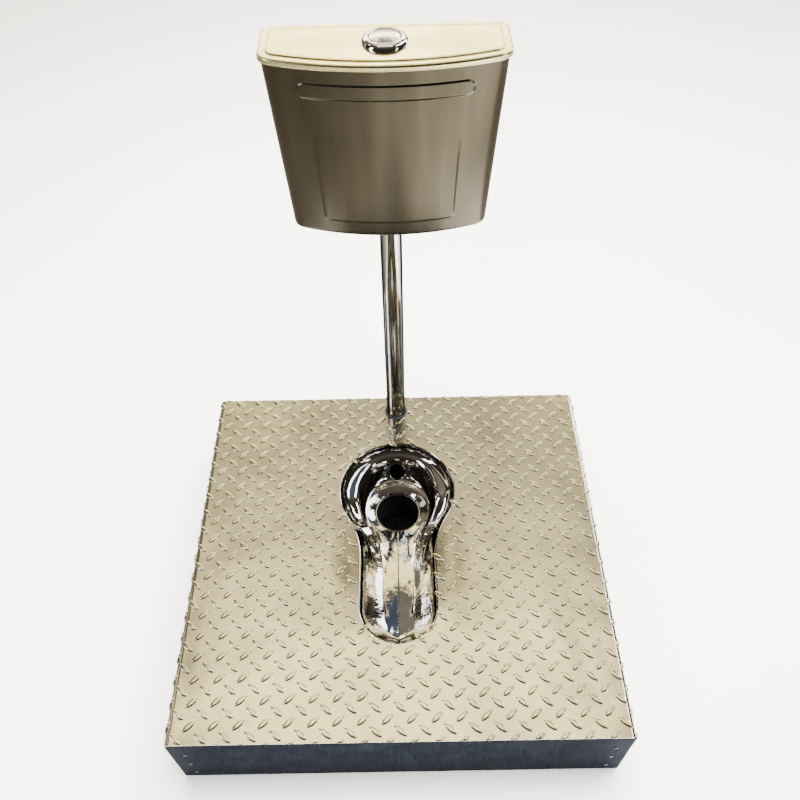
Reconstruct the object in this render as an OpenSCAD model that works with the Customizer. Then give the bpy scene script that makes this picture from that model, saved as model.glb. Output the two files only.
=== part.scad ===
// Raised squat toilet: a chequer-plate platform on an angle frame, a pressed keyhole pan,
// and a bow-fronted cistern on a flush pipe. The origin is on the floor, under the middle
// of the platform. X runs across, Y runs from the user's feet to the wall, and Z is up.

/* [Platform] */
// Width of the platform
plat_w = 900; // [860:10:1000]
// Depth of the platform, from its front to the wall
plat_d = 850; // [820:10:950]
// Height of the deck surface above the floor
plat_h = 200; // [190:5:260]
// Thickness of the deck plate
deck_t = 2; // [1.5:0.5:4]
// Outside radius of the deck's bent side edges
bend_r = 12; // [8:1:16]
// Height of the deck's bent side flanges
deck_flange = 40; // [34:1:60]
// Thickness of the skirt sheets
skirt_t = 1.5; // [1:0.5:3]
// Width of the fold along the foot of each skirt
skirt_fold = 18; // [12:1:20]

/* [Under-frame] */
// Leg width of the angle rails
rail_w = 30; // [26:1:36]
// Thickness of the angle rails
rail_t = 3; // [2:0.5:4]
// Distance of each bearer from the centre line
bearer_x = 200; // [190:5:230]
// Side of the square legs
leg_w = 30; // [25:1:34]
// Wall of the square legs
leg_t = 2; // [1.5:0.5:3]
// Thickness of the rubber pads under the legs
pad_h = 5; // [4:1:10]
// Leg length of the floor brackets
bracket_w = 45; // [40:1:50]
// Thickness of the floor brackets
bracket_t = 3; // [2:0.5:5]
// Diameter of the holes for the floor bolts
anchor_d = 11; // [8:0.5:13]
// Diameter of the rivet heads
rivet_d = 7; // [5:0.5:9]
// Height of the rivet heads
rivet_h = 1.6; // [1:0.2:2.4]

/* [Pan] */
// Overall length of the pan's opening
pan_len = 514; // [480:2:540]
// Radius of the round head
head_r = 136; // [130:1:140]
// Distance of the head's centre from the wall
head_back = 281; // [275:1:290]
// Half width of the trough
throat_w = 85; // [80:1:90]
// Radius of the concave necks between head and trough
neck_r = 200; // [170:5:240]
// Depth of the outlet below the deck
drain_depth = 100; // [90:1:110]
// Depth of the trough's crease at its front end
front_depth = 62; // [55:1:70]
// Thickness of the pan sheet
pan_t = 1.5; // [1:0.1:2]
// Width of the pan's flange under the deck
pan_flange = 18; // [14:1:22]
// Radius of the roll at the rim
roll_r = 9; // [7:0.5:11]
// Radius of the deep bowl's edge at the sides
bowl_side_r = 93; // [88:1:98]
// Radius of the deep bowl's edge at the back
bowl_back_r = 113; // [108:1:116]
// Fall of the trough's floor to its crease, per unit of width
crease_fall = 0.2; // [0.1:0.02:0.26]
// Radius of the drain hole
drain_r = 52; // [48:1:56]
// Depth of the head's shoulder below the deck
shoulder_depth = 33; // [28:1:38]
// Depth of the trough's steep side walls
side_depth = 38; // [32:1:42]
// Width of the trough's side walls and coves in plan
side_run = 38; // [34:1:42]
// Width of the flat seat round the drain
land_w = 19; // [17:1:22]
// Width of the outlet ring that shows inside the pan's hole
ring_lip = 6; // [4:1:8]
// Thickness of the outlet ring under the pan
ring_plate = 2; // [1.5:0.5:3]

/* [Outlet] */
// Outside radius of the outlet pipe
outlet_r = 55; // [54:0.5:57]
// Wall of the outlet pipe
outlet_t = 3; // [2:0.5:4]
// Gap from the outlet pipe's end to the floor
outlet_gap = 10; // [5:1:30]
// Thickness of the connector's flange
outlet_flange_t = 4; // [3:0.5:6]
// Thickness of the outlet seal
outlet_seal_t = 2; // [1.5:0.5:4]

/* [Flush pipe] */
// Outside diameter of the flush pipe
pipe_d = 45; // [40:1:48]
// Wall of the flush pipe
pipe_t = 1.2; // [1:0.1:2]
// Distance of the pipe's axis from the wall
pipe_back = 43; // [43:1:48]
// Radius of the elbow's centre line
elbow_r = 34; // [32:1:36]
// Wall of the elbow
elbow_t = 2.5; // [2:0.5:3]
// Length of the elbow's sockets
socket_len = 20; // [16:1:22]
// Depth of the flush inlet's axis below the deck
inlet_depth = 68; // [67:1:70]
// Outside diameter of the inlet spigot
spigot_d = 38; // [36:1:38]
// Wall of the inlet spigot
spigot_t = 1.2; // [1:0.1:2]

/* [Cistern] */
// Height of the cistern's underside above the deck
cist_rise = 620; // [560:10:700]
// Height of the cistern shell
cist_h = 340; // [320:5:380]
// Half width of the shell at its top
cist_top = 200; // [195:1:210]
// Half width of the shell at its foot
cist_foot = 181; // [176:1:190]
// Depth of the shell at its top, on the centre line
cist_top_d = 136; // [130:1:142]
// Depth of the shell at its foot, on the centre line
cist_foot_d = 123; // [120:1:128]
// Rise of the bowed front from its ends to its middle
bow = 35; // [28:1:40]
// Radius of the shell's front corners
front_r = 26; // [20:1:30]
// Radius of the shell's back corners
back_r = 12; // [8:1:16]
// Radius of the shell's bottom edge
foot_r = 8; // [6:1:12]
// Thickness of the shell
cist_t = 1.2; // [1:0.1:2]
// Height of the embosses over the shell
emboss_h = 2.5; // [1.5:0.5:3.5]
// Length of the upper embossed band
band_w = 286; // [260:2:300]
// Height of the upper embossed band
band_h = 25; // [20:1:30]
// Height of the band's middle above the shell's foot
band_z = 293; // [285:1:300]
// Width of the lower embossed panel at its foot
panel_w = 234; // [210:2:250]
// Height of the lower embossed panel, up to where it fades out
panel_h = 175; // [160:5:190]
// Height of the lower panel's edge above the shell's foot
panel_z = 35; // [30:1:45]
// Thickness of the hanging rail behind the shell
hanger_t = 5; // [4:0.5:6]
// Depth of the hanging rail's axis below the shell's rim
hanger_drop = 60; // [50:5:80]
// Height of the hanging rail
hanger_h = 50; // [40:2:60]
// Length of the hanging rail
hanger_w = 300; // [280:5:320]
// Spacing of the two wall holes
wall_pitch = 240; // [220:5:260]
// Diameter of the wall holes
wall_hole_d = 9; // [7:0.5:10]

/* [Lid] */
// Thickness of the lid
lid_t = 1.2; // [1:0.1:2]
// Overhang of the lid outside the shell
lid_over = 4; // [3.4:0.2:5]
// Height of the lid's rim
lid_rim = 10; // [8:0.5:14]
// Radius of the lid's top edge
lid_edge = 4; // [2:0.5:5]
// Rise of the lid's raised panel
lid_rise = 1.8; // [1:0.2:3]
// Distance of the raised panel from the lid's edge
lid_inset = 14; // [12:1:18]
// Gap between the lid and the shell's top edge
lid_gap = 0.3; // [0.2:0.1:0.5]

/* [Button] */
// Distance of the button's axis from the wall
button_back = 68; // [64:1:72]
// Outside diameter of the domed ring
ring_d = 76; // [74:1:80]
// Height of the domed ring over the lid
ring_h = 9; // [7:0.5:11]
// Diameter of the two half buttons together
button_d = 52; // [48:1:54]
// Gap between the buttons and round them
button_gap = 0.6; // [0.5:0.1:0.9]
// Swing of the S-shaped split
split_s = 4; // [2:0.5:6]
// Travel of each button
press = 6; // [4:0.5:7]
// Outside diameter of the ring's threaded sleeve
sleeve_d = 60; // [58:1:62]
// Length of the sleeve below the lid
sleeve_len = 26; // [24:1:30]
// Wall of the sleeve
sleeve_t = 2.5; // [2:0.5:3]
// Thickness of the lid nut
lid_nut_t = 7; // [5:1:9]
// Diameter of the push rods
rod_d = 6; // [5:0.5:7]
// Distance of each push rod from the button's axis
rod_x = 12; // [11:0.5:13]

/* [Flush valve] */
// Radius of the valve's threaded shank
shank_r = 29; // [27:0.5:30]
// Radius of the valve's seat flange
seat_r = 36; // [33:0.5:36]
// Length of the shank below the shell
shank_len = 26; // [24:1:30]
// Thickness of the coupling seal
cone_t = 5; // [4:0.5:6]
// Thickness of the backnut
backnut_t = 12; // [9:1:14]
// Outside radius of the backnut
backnut_r = 39; // [37:0.5:40]
// Thickness of the valve gasket
gasket_t = 4; // [3:0.5:5]
// Thickness of the valve's seat flange
seat_t = 8; // [6:1:10]
// Radius of the valve's cage
cage_r = 34; // [32:0.5:35]
// Height of the cage
cage_h = 190; // [170:5:200]
// Outside radius of the overflow tube
tube_r = 14; // [12:0.5:15]
// Wall of the overflow tube
tube_t = 1.8; // [1.5:0.1:2.5]
// Radius of the core's seal
core_seal_r = 25; // [23:0.5:26]
// Thickness of the core's seal
core_seal_t = 4; // [3:0.5:5]
// Lift of the valve core
core_lift = 18; // [12:1:22]
// Height of the valve's head
head_h = 26; // [20:1:30]

/* [Fill valve] */
// Distance of the fill valve from the centre line
fill_x = 150; // [146:1:152]
// Radius of the inlet thread
inlet_r = 10.5; // [10:0.1:11]
// Length of the inlet shank below the shell
inlet_len = 36; // [30:1:45]
// Height of the float arm's pivot above the shell's foot
pivot_z = 255; // [245:1:270]
// Length of the float arm
arm_len = 60; // [56:1:62]
// Diameter of the float
float_d = 52; // [48:1:56]
// Height of the float
float_h = 60; // [50:2:70]
// Diameter of the float arm's hinge pin
pin_d = 5; // [4:0.5:6]

/* [Hidden] */

$fn = 64;
e = 0.02;
bolt_fit = 0.3;
seal_gap = 0.3;

wall_y = plat_d / 2;
deck_z = plat_h;
under_z = plat_h - deck_t;
rivet_edge = 60;
window_foot = 12;
window_head = 18;
fill_block = 34;
fill_nut_af = 32;
clip_stud_l = 16;
skirt_x = plat_w / 2 - deck_t;
rail_x = plat_w / 2 - bend_r - bolt_fit;
rail_y = plat_d / 2 - skirt_t;
leg_x = rail_x - rail_t - leg_w / 2;
leg_y = rail_y - rail_t - leg_w / 2;
leg_top = under_z - rail_t;
bearer_leg_x = bearer_x + rail_t + leg_w / 2;
LEGS = [for (x = [-leg_x, leg_x], y = [-leg_y, leg_y]) [x, y]];
MID_LEGS = concat([for (x = [-leg_x, leg_x]) [x, 0]],
    [for (x = [-bearer_leg_x, bearer_leg_x]) [x, 0]]);
anchor_x = leg_x - leg_w / 2 - bracket_w + 15;

pan_y = wall_y - head_back;
front_y = pan_y + head_r - pan_len;
arc_y = front_y + throat_w;
neck_x = throat_w + neck_r;
neck_y = pan_y - sqrt(pow(head_r + neck_r, 2) - pow(neck_x, 2));
neck_a = atan2(pan_y - neck_y, neck_x);
land_r = drain_r + land_w;
drain_z = deck_z - drain_depth;
outlet_top = drain_z - pan_t - ring_plate;
stud_r = 2;
stud_pcr = (land_r + outlet_r) / 2;

pipe_y = wall_y - pipe_back;
inlet_z = deck_z - inlet_depth;
elbow_out = pipe_d / 2 + bolt_fit + elbow_t;
elbow_in = pipe_d / 2 - pipe_t;
socket_y = pipe_y - elbow_r;
spigot_y0 = pan_y + bowl_back_r - 4;
spigot_y1 = socket_y - 3;
pipe_z0 = inlet_z + elbow_r + 1;
grommet_r = pipe_d / 2 + 4;

cist_z = deck_z + cist_rise;
cist_top_z = cist_z + cist_h;
cist_y = wall_y - hanger_t;
cist_floor = cist_z + cist_t;
hanger_z = cist_z + cist_h - hanger_drop;
socket_in = pipe_d / 2 + bolt_fit;
pipe_z1 = cist_z - shank_len + 15;
cone_z = cist_z - shank_len - cone_t;
seat_z = cist_floor + gasket_t + seat_t;
lip_z = seat_z + 2;
core_z = lip_z + seal_gap;
cage_z = seat_z;
head_z = cage_z + cage_h;
fill_r = inlet_r + 0.5;
fill_nut_h = 8;
pivot_x = 18 - fill_x;
arm_z = cist_z + pivot_z;
float_x = pivot_x + arm_len;

lid_under = cist_top_z + lid_gap;
lid_top = lid_under + lid_t;
panel_top = lid_top + lid_rise;
button_y = wall_y - button_back;

// Points of an arc round a centre
function arc(c, r, a0, a1, n) =
    [for (i = [0:n]) let (a = a0 + (a1 - a0) * i / n) [c[0] + r * cos(a), c[1] + r * sin(a)]];

function mix(a, b, t) = a * (1 - t) + b * t;

function ease(a, b, x) = let (t = min(1, max(0, (x - a) / (b - a)))) t * t * (3 - 2 * t);

// Right half of the pan's rim, front to back: point, outward normal, angle round the drain
function rim_half() = let (
        t_y = pan_y - head_r * sin(neck_a),
        turn = function (y) -90 + (90 - neck_a) * (y - front_y) / (t_y - front_y))
    concat(
        [for (i = [0:8]) let (a = -90 + 10 * i, p = [throat_w * cos(a), arc_y + throat_w * sin(a)])
            [p, [cos(a), sin(a)], turn(p[1])]],
        [for (i = [0:2]) let (y = mix(arc_y, neck_y, i / 3)) [[throat_w, y], [1, 0], turn(y)]],
        [for (i = [0:5]) let (a = neck_a * i / 6,
                p = [neck_x - neck_r * cos(a), neck_y + neck_r * sin(a)])
            [p, [cos(a), -sin(a)], turn(p[1])]],
        [for (i = [0:14]) let (a = mix(-neck_a, 90, i / 14))
            [[head_r * cos(a), pan_y + head_r * sin(a)], [cos(a), sin(a)], a]]);

// Depth of the trough's floor: it falls to a crease on the centre line, and to the outlet
function floor_depth(p) = let (
        t = min(1, max(0, (p[1] - front_y - side_run) / (pan_y - land_r - front_y - side_run))),
        crease = mix(front_depth, drain_depth, 0.45 * t + 0.55 * t * t * t))
    crease - crease_fall * abs(p[0]) * (1 - t * t);

function at_depth(p, d) = [p[0], p[1], deck_z - d];

// Top surface of the pan along one line, from the flange to the drain
function pan_line(s) = let (
        p = s[0], n = s[1], a = s[2],
        u = [cos(a), sin(a)], c = [0, pan_y],
        bowl = mix(bowl_side_r, bowl_back_r, pow(max(0, sin(a)), 2)),
        h = ease(-50, 5, a),
        free = head_r - bowl - roll_r,
        foot = p - side_run * n,
        land = c + land_r * u,
        fall = drain_depth - shoulder_depth,
        slope = function (f) at_depth(mix(foot, land, f), floor_depth(mix(foot, land, f))))
    concat(
        [at_depth(p + pan_flange * n, deck_t)],
        [for (b = [0, 28, 56, 82]) at_depth(p - roll_r * sin(b) * n, deck_t + roll_r * (1 - cos(b)))],
        [mix(at_depth(p - 0.52 * side_run * n, side_depth),
            at_depth(p - (roll_r + 0.22 * free) * n, 0.58 * shoulder_depth), h),
        mix(at_depth(p - 0.7 * side_run * n, mix(side_depth, floor_depth(foot), 0.72)),
            at_depth(p - (roll_r + 0.55 * free) * n, 0.84 * shoulder_depth), h),
        mix(slope(0), at_depth(c + (bowl + 3) * u, shoulder_depth), h),
        mix(slope(0.2), at_depth(c + (bowl - 3) * u, shoulder_depth + 0.1 * fall), h),
        mix(slope(0.45), at_depth(c + mix(bowl, land_r, 0.3) * u, shoulder_depth + 0.68 * fall), h),
        mix(slope(0.75), at_depth(c + mix(bowl, land_r, 0.62) * u, shoulder_depth + 0.93 * fall), h),
        at_depth(land, drain_depth),
        at_depth(c + (drain_r + ring_lip) * u, drain_depth)]);

// Under surface of the pan, one sheet thickness below the top surface
function pan_under(l) = [for (j = [0:len(l) - 1]) let (
        flat = j < 2 || j > len(l) - 3,
        a = l[max(0, j - 1)], b = l[min(len(l) - 1, j + 1)],
        run = norm([b[0] - a[0], b[1] - a[1]]),
        h = [(b[0] - a[0]) / run, (b[1] - a[1]) / run],
        len3 = norm(b - a),
        k = pan_t / len3)
    flat ? l[j] - [0, 0, pan_t]
        : l[j] + [h[0] * (b[2] - a[2]) * k, h[1] * (b[2] - a[2]) * k, -run * k]];

// Solid skinned over closed rings of equal length, each counted anticlockwise, foot first
module loft(rings) {
    n = len(rings[0]);
    m = len(rings);
    polyhedron(
        points = [for (r = rings, p = r) p],
        faces = concat(
            [[for (i = [0:n - 1]) i]],
            [for (j = [0:m - 2], i = [0:n - 1]) let (a = j * n + i, b = j * n + (i + 1) % n)
                each [[a, a + n, b + n], [a, b + n, b]]],
            [[for (i = [n - 1:-1:0]) (m - 1) * n + i]]));
}

// Plan of the cistern: half width w, middle depth d, grown by g and at the back by b, at height z
function plan(w, d, g, b, z) = let (
        hw = w + g, r = (w * w + bow * bow) / (2 * bow) + g,
        by = r - d - g, rc = front_r + g, rb = max(1, back_r + g),
        cx = hw - rc, cy = by - sqrt(pow(r - rc, 2) - cx * cx), beta = asin(cx / (r - rc)),
        front = arc([0, by], r, -90 - beta, -90 + beta, 16))
    [for (p = concat(
            [for (i = [1:15]) front[i]],
            arc([cx, cy], rc, -90 + beta, 0, 5),
            arc([hw - rb, b - rb], rb, 0, 90, 3),
            arc([rb - hw, b - rb], rb, 90, 180, 3),
            arc([-cx, cy], rc, 180, 270 - beta, 5)))
        [p[0], p[1] + cist_y, z]];

// Plan of the tapered shell at height z, grown by g, with its flat back at b
function shell_ring(z, g, b = 0) = let (t = (z - cist_z) / cist_h)
    plan(mix(cist_foot, cist_top, t), mix(cist_foot_d, cist_top_d, t), g, b, z);

function lid_ring(z, g) = plan(cist_top, cist_top_d, g, g, z);

// Flat plan of the pan's opening, grown by g; its head is a hair wide, so that the arcs cross
module keyhole(g) {
    translate([0, pan_y]) circle(r = head_r + g + e, $fn = 128);
    translate([0, arc_y]) circle(r = throat_w + g, $fn = 96);
    translate([-throat_w - g, arc_y]) square([2 * (throat_w + g), neck_y - arc_y + e]);
    difference() {
        polygon([[0, pan_y], [-neck_x, neck_y], [neck_x, neck_y]]);
        for (x = [-neck_x, neck_x]) translate([x, neck_y]) circle(r = neck_r - g, $fn = 256);
    }
}

// Flat plate with two rounded top corners, hung from the origin
module cap(w, h, r) {
    translate([-w / 2, -h]) square([w, h - r]);
    translate([r - w / 2, -r - e]) square([w - 2 * r, r + e]);
    for (x = [r - w / 2, w / 2 - r]) translate([x, -r]) circle(r = r);
}

module tube(r, ri, h) {
    difference() {
        cylinder(r = r, h = h);
        translate([0, 0, -1]) cylinder(r = ri, h = h + 2);
    }
}

module hex_nut(af, bore, h) {
    difference() {
        cylinder(r = af / sqrt(3), h = h, $fn = 6);
        translate([0, 0, -1]) cylinder(r = bore, h = h + 2, $fn = 32);
    }
}

// Angle section along Y, with its corner at the origin, one leg down and one along +X
module angle_y(l) {
    translate([0, l / 2, 0]) rotate([90, 0, 0]) linear_extrude(l)
        polygon([[0, 0], [rail_w, 0], [rail_w, -rail_t], [rail_t, -rail_t],
            [rail_t, -rail_w], [0, -rail_w]]);
}

module both_x() {
    children();
    mirror([1, 0, 0]) children();
}

module at_legs(list) {
    for (p = list) translate([p[0], p[1], 0]) children();
}

module leg_notches() {
    w = leg_w + 2 * bracket_t + 2;
    at_legs(concat(LEGS, MID_LEGS)) translate([-w / 2, -leg_w / 2 - 1, 0])
        cube([w, leg_w + 2, plat_h / 2]);
}

CLIPS = concat(
    [for (a = [30, 150]) [head_r * cos(a), pan_y + head_r * sin(a), a]],
    [for (a = [0, 180]) [throat_w * cos(a), (arc_y + neck_y) / 2, a]],
    [for (a = [-50, -130]) [throat_w * cos(a), arc_y + throat_w * sin(a), a]]);
clip_z = under_z - pan_t;
clip_t = 3;
clip_w = 20;
clip_hole = pan_flange + 7;

module at_clips() {
    for (c = CLIPS) translate([c[0], c[1], 0]) rotate([0, 0, c[2]]) children();
}

module at_outlet_studs() {
    translate([0, pan_y, 0]) for (a = [45:90:315]) rotate([0, 0, a])
        translate([stud_pcr, 0, 0]) children();
}

module deck_plate() {
    color("#cfc9b8") difference() {
        translate([0, 0, deck_z]) rotate([90, 0, 0]) linear_extrude(plat_d, center = true)
            difference() {
                cap(plat_w, deck_flange, bend_r);
                translate([0, -deck_t]) cap(plat_w - 2 * deck_t, deck_flange, bend_r - deck_t);
            }
        translate([0, 0, under_z - 1]) linear_extrude(deck_t + 2) keyhole(0);
        translate([0, pipe_y, under_z - 1]) cylinder(r = grommet_r, h = deck_t + 2);
    }
}

module end_skirt() {
    translate([0, 0, under_z]) rotate([90, 0, 0]) linear_extrude(skirt_t)
        cap(2 * skirt_x, under_z - pad_h, bend_r - deck_t);
    difference() {
        translate([skirt_t - skirt_x, 0, pad_h]) cube([2 * (skirt_x - skirt_t), skirt_fold, skirt_t]);
        translate([0, plat_d / 2 - skirt_t, 0]) leg_notches();
    }
}

module front_skirt() {
    color("#5b6572") translate([0, skirt_t - plat_d / 2, 0]) end_skirt();
}

module rear_skirt() {
    color("#5b6572") mirror([0, 1, 0]) translate([0, skirt_t - plat_d / 2, 0]) end_skirt();
}

module side_skirts() {
    l = plat_d - 2 * skirt_t;
    fold_l = l - 2 * skirt_fold - 2;
    color("#5b6572") both_x() {
        translate([skirt_x - skirt_t, -l / 2, pad_h])
            cube([skirt_t, l, under_z - (bend_r - deck_t) - pad_h]);
        difference() {
            translate([skirt_x - skirt_fold, -fold_l / 2, pad_h])
                cube([skirt_fold - skirt_t + e, fold_l, skirt_t]);
            leg_notches();
        }
    }
}

module rivet() {
    intersection() {
        cylinder(d = rivet_d, h = rivet_h, $fn = 24);
        translate([0, 0, rivet_h - rivet_d]) sphere(r = rivet_d, $fn = 48);
    }
}

module skirt_rivets() {
    end_zs = [for (i = [0:2]) rivet_edge / 2 + i * (plat_h - 1.5 * rivet_edge) / 2];
    side_ys = [for (i = [-2:2]) i * (plat_d - 2 * rivet_edge) / 4];
    color("#9a9da0") {
        both_x() for (z = end_zs) translate([leg_x, -plat_d / 2, z]) rotate([90, 0, 0]) rivet();
        both_x() for (y = side_ys) translate([plat_w / 2, y, deck_z - deck_flange + 12])
            rotate([0, 90, 0]) rivet();
    }
}

module end_rail() {
    translate([0, -rail_y, under_z]) rotate([0, 0, 90]) angle_y(2 * rail_x);
}

module front_rail() {
    color("#8d9094") end_rail();
}

module rear_rail() {
    color("#8d9094") difference() {
        mirror([0, 1, 0]) end_rail();
        translate([0, pipe_y, under_z - rail_w]) cylinder(r = grommet_r + 4, h = rail_w + 1);
    }
}

module side_rails() {
    color("#8d9094") both_x() translate([-rail_x, 0, under_z]) angle_y(2 * (rail_y - rail_w));
}

module bearers() {
    color("#8d9094") both_x() translate([bearer_x, 0, under_z]) angle_y(2 * (rail_y - rail_w));
}

module legs() {
    color("#8d9094") at_legs(concat(LEGS, MID_LEGS)) translate([0, 0, pad_h])
        linear_extrude(leg_top - pad_h) difference() {
            square(leg_w, center = true);
            square(leg_w - 2 * leg_t, center = true);
        }
}

module foot_pads() {
    color("#222222") at_legs(concat(LEGS, MID_LEGS)) translate([-leg_w / 2, -leg_w / 2, 0])
        cube([leg_w, leg_w, pad_h]);
}

module floor_brackets() {
    inner = leg_x - leg_w / 2;
    color("#8d9094") for (m = [0, 1]) mirror([0, m, 0]) both_x() difference() {
        translate([0, -leg_y - leg_w / 2, 0]) {
            translate([inner - bracket_t, 0, 0]) cube([bracket_t, leg_w, bracket_w]);
            translate([inner - bracket_w, 0, 0]) cube([bracket_w, leg_w, bracket_t]);
        }
        translate([anchor_x, -leg_y, -1]) cylinder(d = anchor_d, h = bracket_t + 2);
    }
}

module squat_pan() {
    half = rim_half();
    last = len(half) - 1;
    right = [for (s = half) pan_line(s)];
    tops = concat(right, [for (i = [last - 1:-1:1]) [for (p = right[i]) [-p[0], p[1], p[2]]]]);
    n = len(tops);
    m = len(tops[0]);
    top = [for (l = tops, p = l) p];
    under = [for (l = tops, p = pan_under(l)) p];
    k = n * m;
    skin = [for (i = [0:n - 1], j = [0:m - 2]) let (a = i * m + j, b = (i + 1) % n * m + j)
        each [[a, a + 1, b + 1], [a, b + 1, b]]];
    edges = [for (i = [0:n - 1]) let (a = i * m, b = (i + 1) % n * m)
        each [[a, b, b + k], [a, b + k, a + k],
            [a + m - 1, a + m - 1 + k, b + m - 1 + k], [a + m - 1, b + m - 1 + k, b + m - 1]]];
    color("#b9bdc2") difference() {
        polyhedron(points = concat(top, under), faces = concat(skin,
            [for (f = skin) [f[2] + k, f[1] + k, f[0] + k]], edges));
        translate([0, pan_y + land_r, inlet_z]) rotate([-90, 0, 0])
            cylinder(d = spigot_d + bolt_fit, h = head_r - land_r + 20, $fn = 48);
    }
}

module pan_clips() {
    l = pan_flange + 10;
    color("#a0a3a6") at_clips() difference() {
        union() {
            translate([6, -clip_w / 2, clip_z - clip_t]) cube([l, clip_w, clip_t]);
            translate([l + 3, -clip_w / 2, clip_z - e]) cube([3, clip_w, pan_t + e]);
        }
        translate([clip_hole, 0, clip_z - clip_t - 1]) cylinder(r = 3.3, h = clip_t + 2, $fn = 32);
    }
}

module clip_studs() {
    color("#c4c6c8") at_clips() translate([clip_hole, 0, under_z - clip_stud_l])
        cylinder(r = 3, h = clip_stud_l, $fn = 32);
}

module clip_nuts() {
    color("#c4c6c8") at_clips() translate([clip_hole, 0, clip_z - clip_t - 5]) hex_nut(10, 3.1, 5);
}

module outlet_ring() {
    color("#b9bdc2") translate([0, pan_y, outlet_top]) tube(land_r - 0.5, drain_r, ring_plate, $fn = 96);
}

module outlet_connector() {
    z = outlet_top - outlet_seal_t - outlet_flange_t;
    color("#17181a") difference() {
        translate([0, pan_y, 0]) {
            translate([0, 0, outlet_gap]) cylinder(r = outlet_r, h = z - outlet_gap + 1, $fn = 96);
            translate([0, 0, z]) cylinder(r = land_r - 0.5, h = outlet_flange_t, $fn = 96);
        }
        translate([0, pan_y, 0]) cylinder(r = outlet_r - outlet_t, h = plat_h, $fn = 96);
        at_outlet_studs() translate([0, 0, z - 1])
            cylinder(r = stud_r + 0.2, h = outlet_flange_t + 2, $fn = 24);
    }
}

module outlet_seal() {
    z = outlet_top - outlet_seal_t;
    color("#2b2b2b") difference() {
        translate([0, pan_y, z]) tube(land_r - 0.5, drain_r, outlet_seal_t, $fn = 96);
        at_outlet_studs() translate([0, 0, z - 1])
            cylinder(r = stud_r + 0.2, h = outlet_seal_t + 2, $fn = 24);
    }
}

module outlet_studs() {
    l = outlet_seal_t + outlet_flange_t + 6;
    color("#c4c6c8") at_outlet_studs() translate([0, 0, outlet_top - l])
        cylinder(r = stud_r, h = l, $fn = 24);
}

module outlet_nuts() {
    color("#c4c6c8") at_outlet_studs()
        translate([0, 0, outlet_top - outlet_seal_t - outlet_flange_t - 3.2])
            hex_nut(7, stud_r + 0.1, 3.2);
}

module inlet_spigot() {
    color("#b9bdc2") translate([0, spigot_y0, inlet_z]) rotate([-90, 0, 0])
        tube(spigot_d / 2, spigot_d / 2 - spigot_t, spigot_y1 - spigot_y0);
}

module flush_elbow() {
    color("#3a3c3f") {
        translate([0, socket_y, inlet_z + elbow_r]) rotate([-90, 0, 90])
            rotate_extrude(angle = 90) translate([elbow_r, 0]) difference() {
                circle(r = elbow_out);
                circle(r = elbow_in);
            }
        translate([0, pipe_y, inlet_z + elbow_r]) tube(elbow_out, socket_in, socket_len);
        translate([0, socket_y - socket_len, inlet_z]) rotate([-90, 0, 0])
            tube(elbow_out, socket_in, socket_len);
    }
}

module elbow_seal() {
    color("#222222") translate([0, socket_y - socket_len, inlet_z]) rotate([-90, 0, 0])
        tube(socket_in - 0.05, spigot_d / 2 + 0.05, socket_len - 5);
}

module flush_pipe() {
    color("#c6c8ca") translate([0, pipe_y, pipe_z0])
        tube(pipe_d / 2, pipe_d / 2 - pipe_t, pipe_z1 - pipe_z0);
}

module deck_grommet() {
    color("#222222") difference() {
        translate([0, pipe_y, 0]) {
            translate([0, 0, under_z - 2.5]) cylinder(r = grommet_r + 3, h = 2.5);
            translate([0, 0, under_z - e]) cylinder(r = grommet_r, h = deck_t + 2 * e);
            translate([0, 0, deck_z]) cylinder(r = grommet_r + 1.5, h = 1.5);
        }
        translate([0, pipe_y, under_z - 4]) cylinder(r = pipe_d / 2 + 0.05, h = deck_t + 8);
    }
}

module coupling_nut() {
    z = cone_z - 4;
    h = cist_z - backnut_t - 1 - z;
    color("#c6c8ca") translate([0, pipe_y, z]) difference() {
        cylinder(r = shank_r + 7, h = h, $fn = 8);
        translate([0, 0, -1]) cylinder(r = pipe_d / 2 + bolt_fit, h = h);
        translate([0, 0, 4]) cylinder(r = shank_r + bolt_fit, h = h);
    }
}

module coupling_seal() {
    color("#222222") translate([0, pipe_y, cone_z]) tube(shank_r, pipe_d / 2 + 0.05, cone_t);
}

// Rounded bar along X, cut through the front of the shell
module band_cut(w, h) {
    translate([0, cist_y - front_r - bow, cist_z + band_z]) rotate([90, 0, 0])
        linear_extrude(cist_top_d) {
            square([w - h, h], center = true);
            for (x = [-1, 1]) translate([x * (w - h) / 2, 0]) circle(d = h, $fn = 32);
        }
}

// Panel outline, open to the top, with round bottom corners
module panel_cut(g) {
    w = panel_w / 2 - g;
    lean = (cist_top - cist_foot) * panel_h / cist_h * w / cist_foot;
    translate([0, cist_y - front_r - bow, cist_z + panel_z + g]) rotate([90, 0, 0])
        linear_extrude(cist_top_d)
            polygon(concat([[w + lean, panel_h], [-w - lean, panel_h]],
                arc([10 - w, 10], 10, 180, 270, 4), arc([w - 10, 10], 10, 270, 360, 4)));
}

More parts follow.
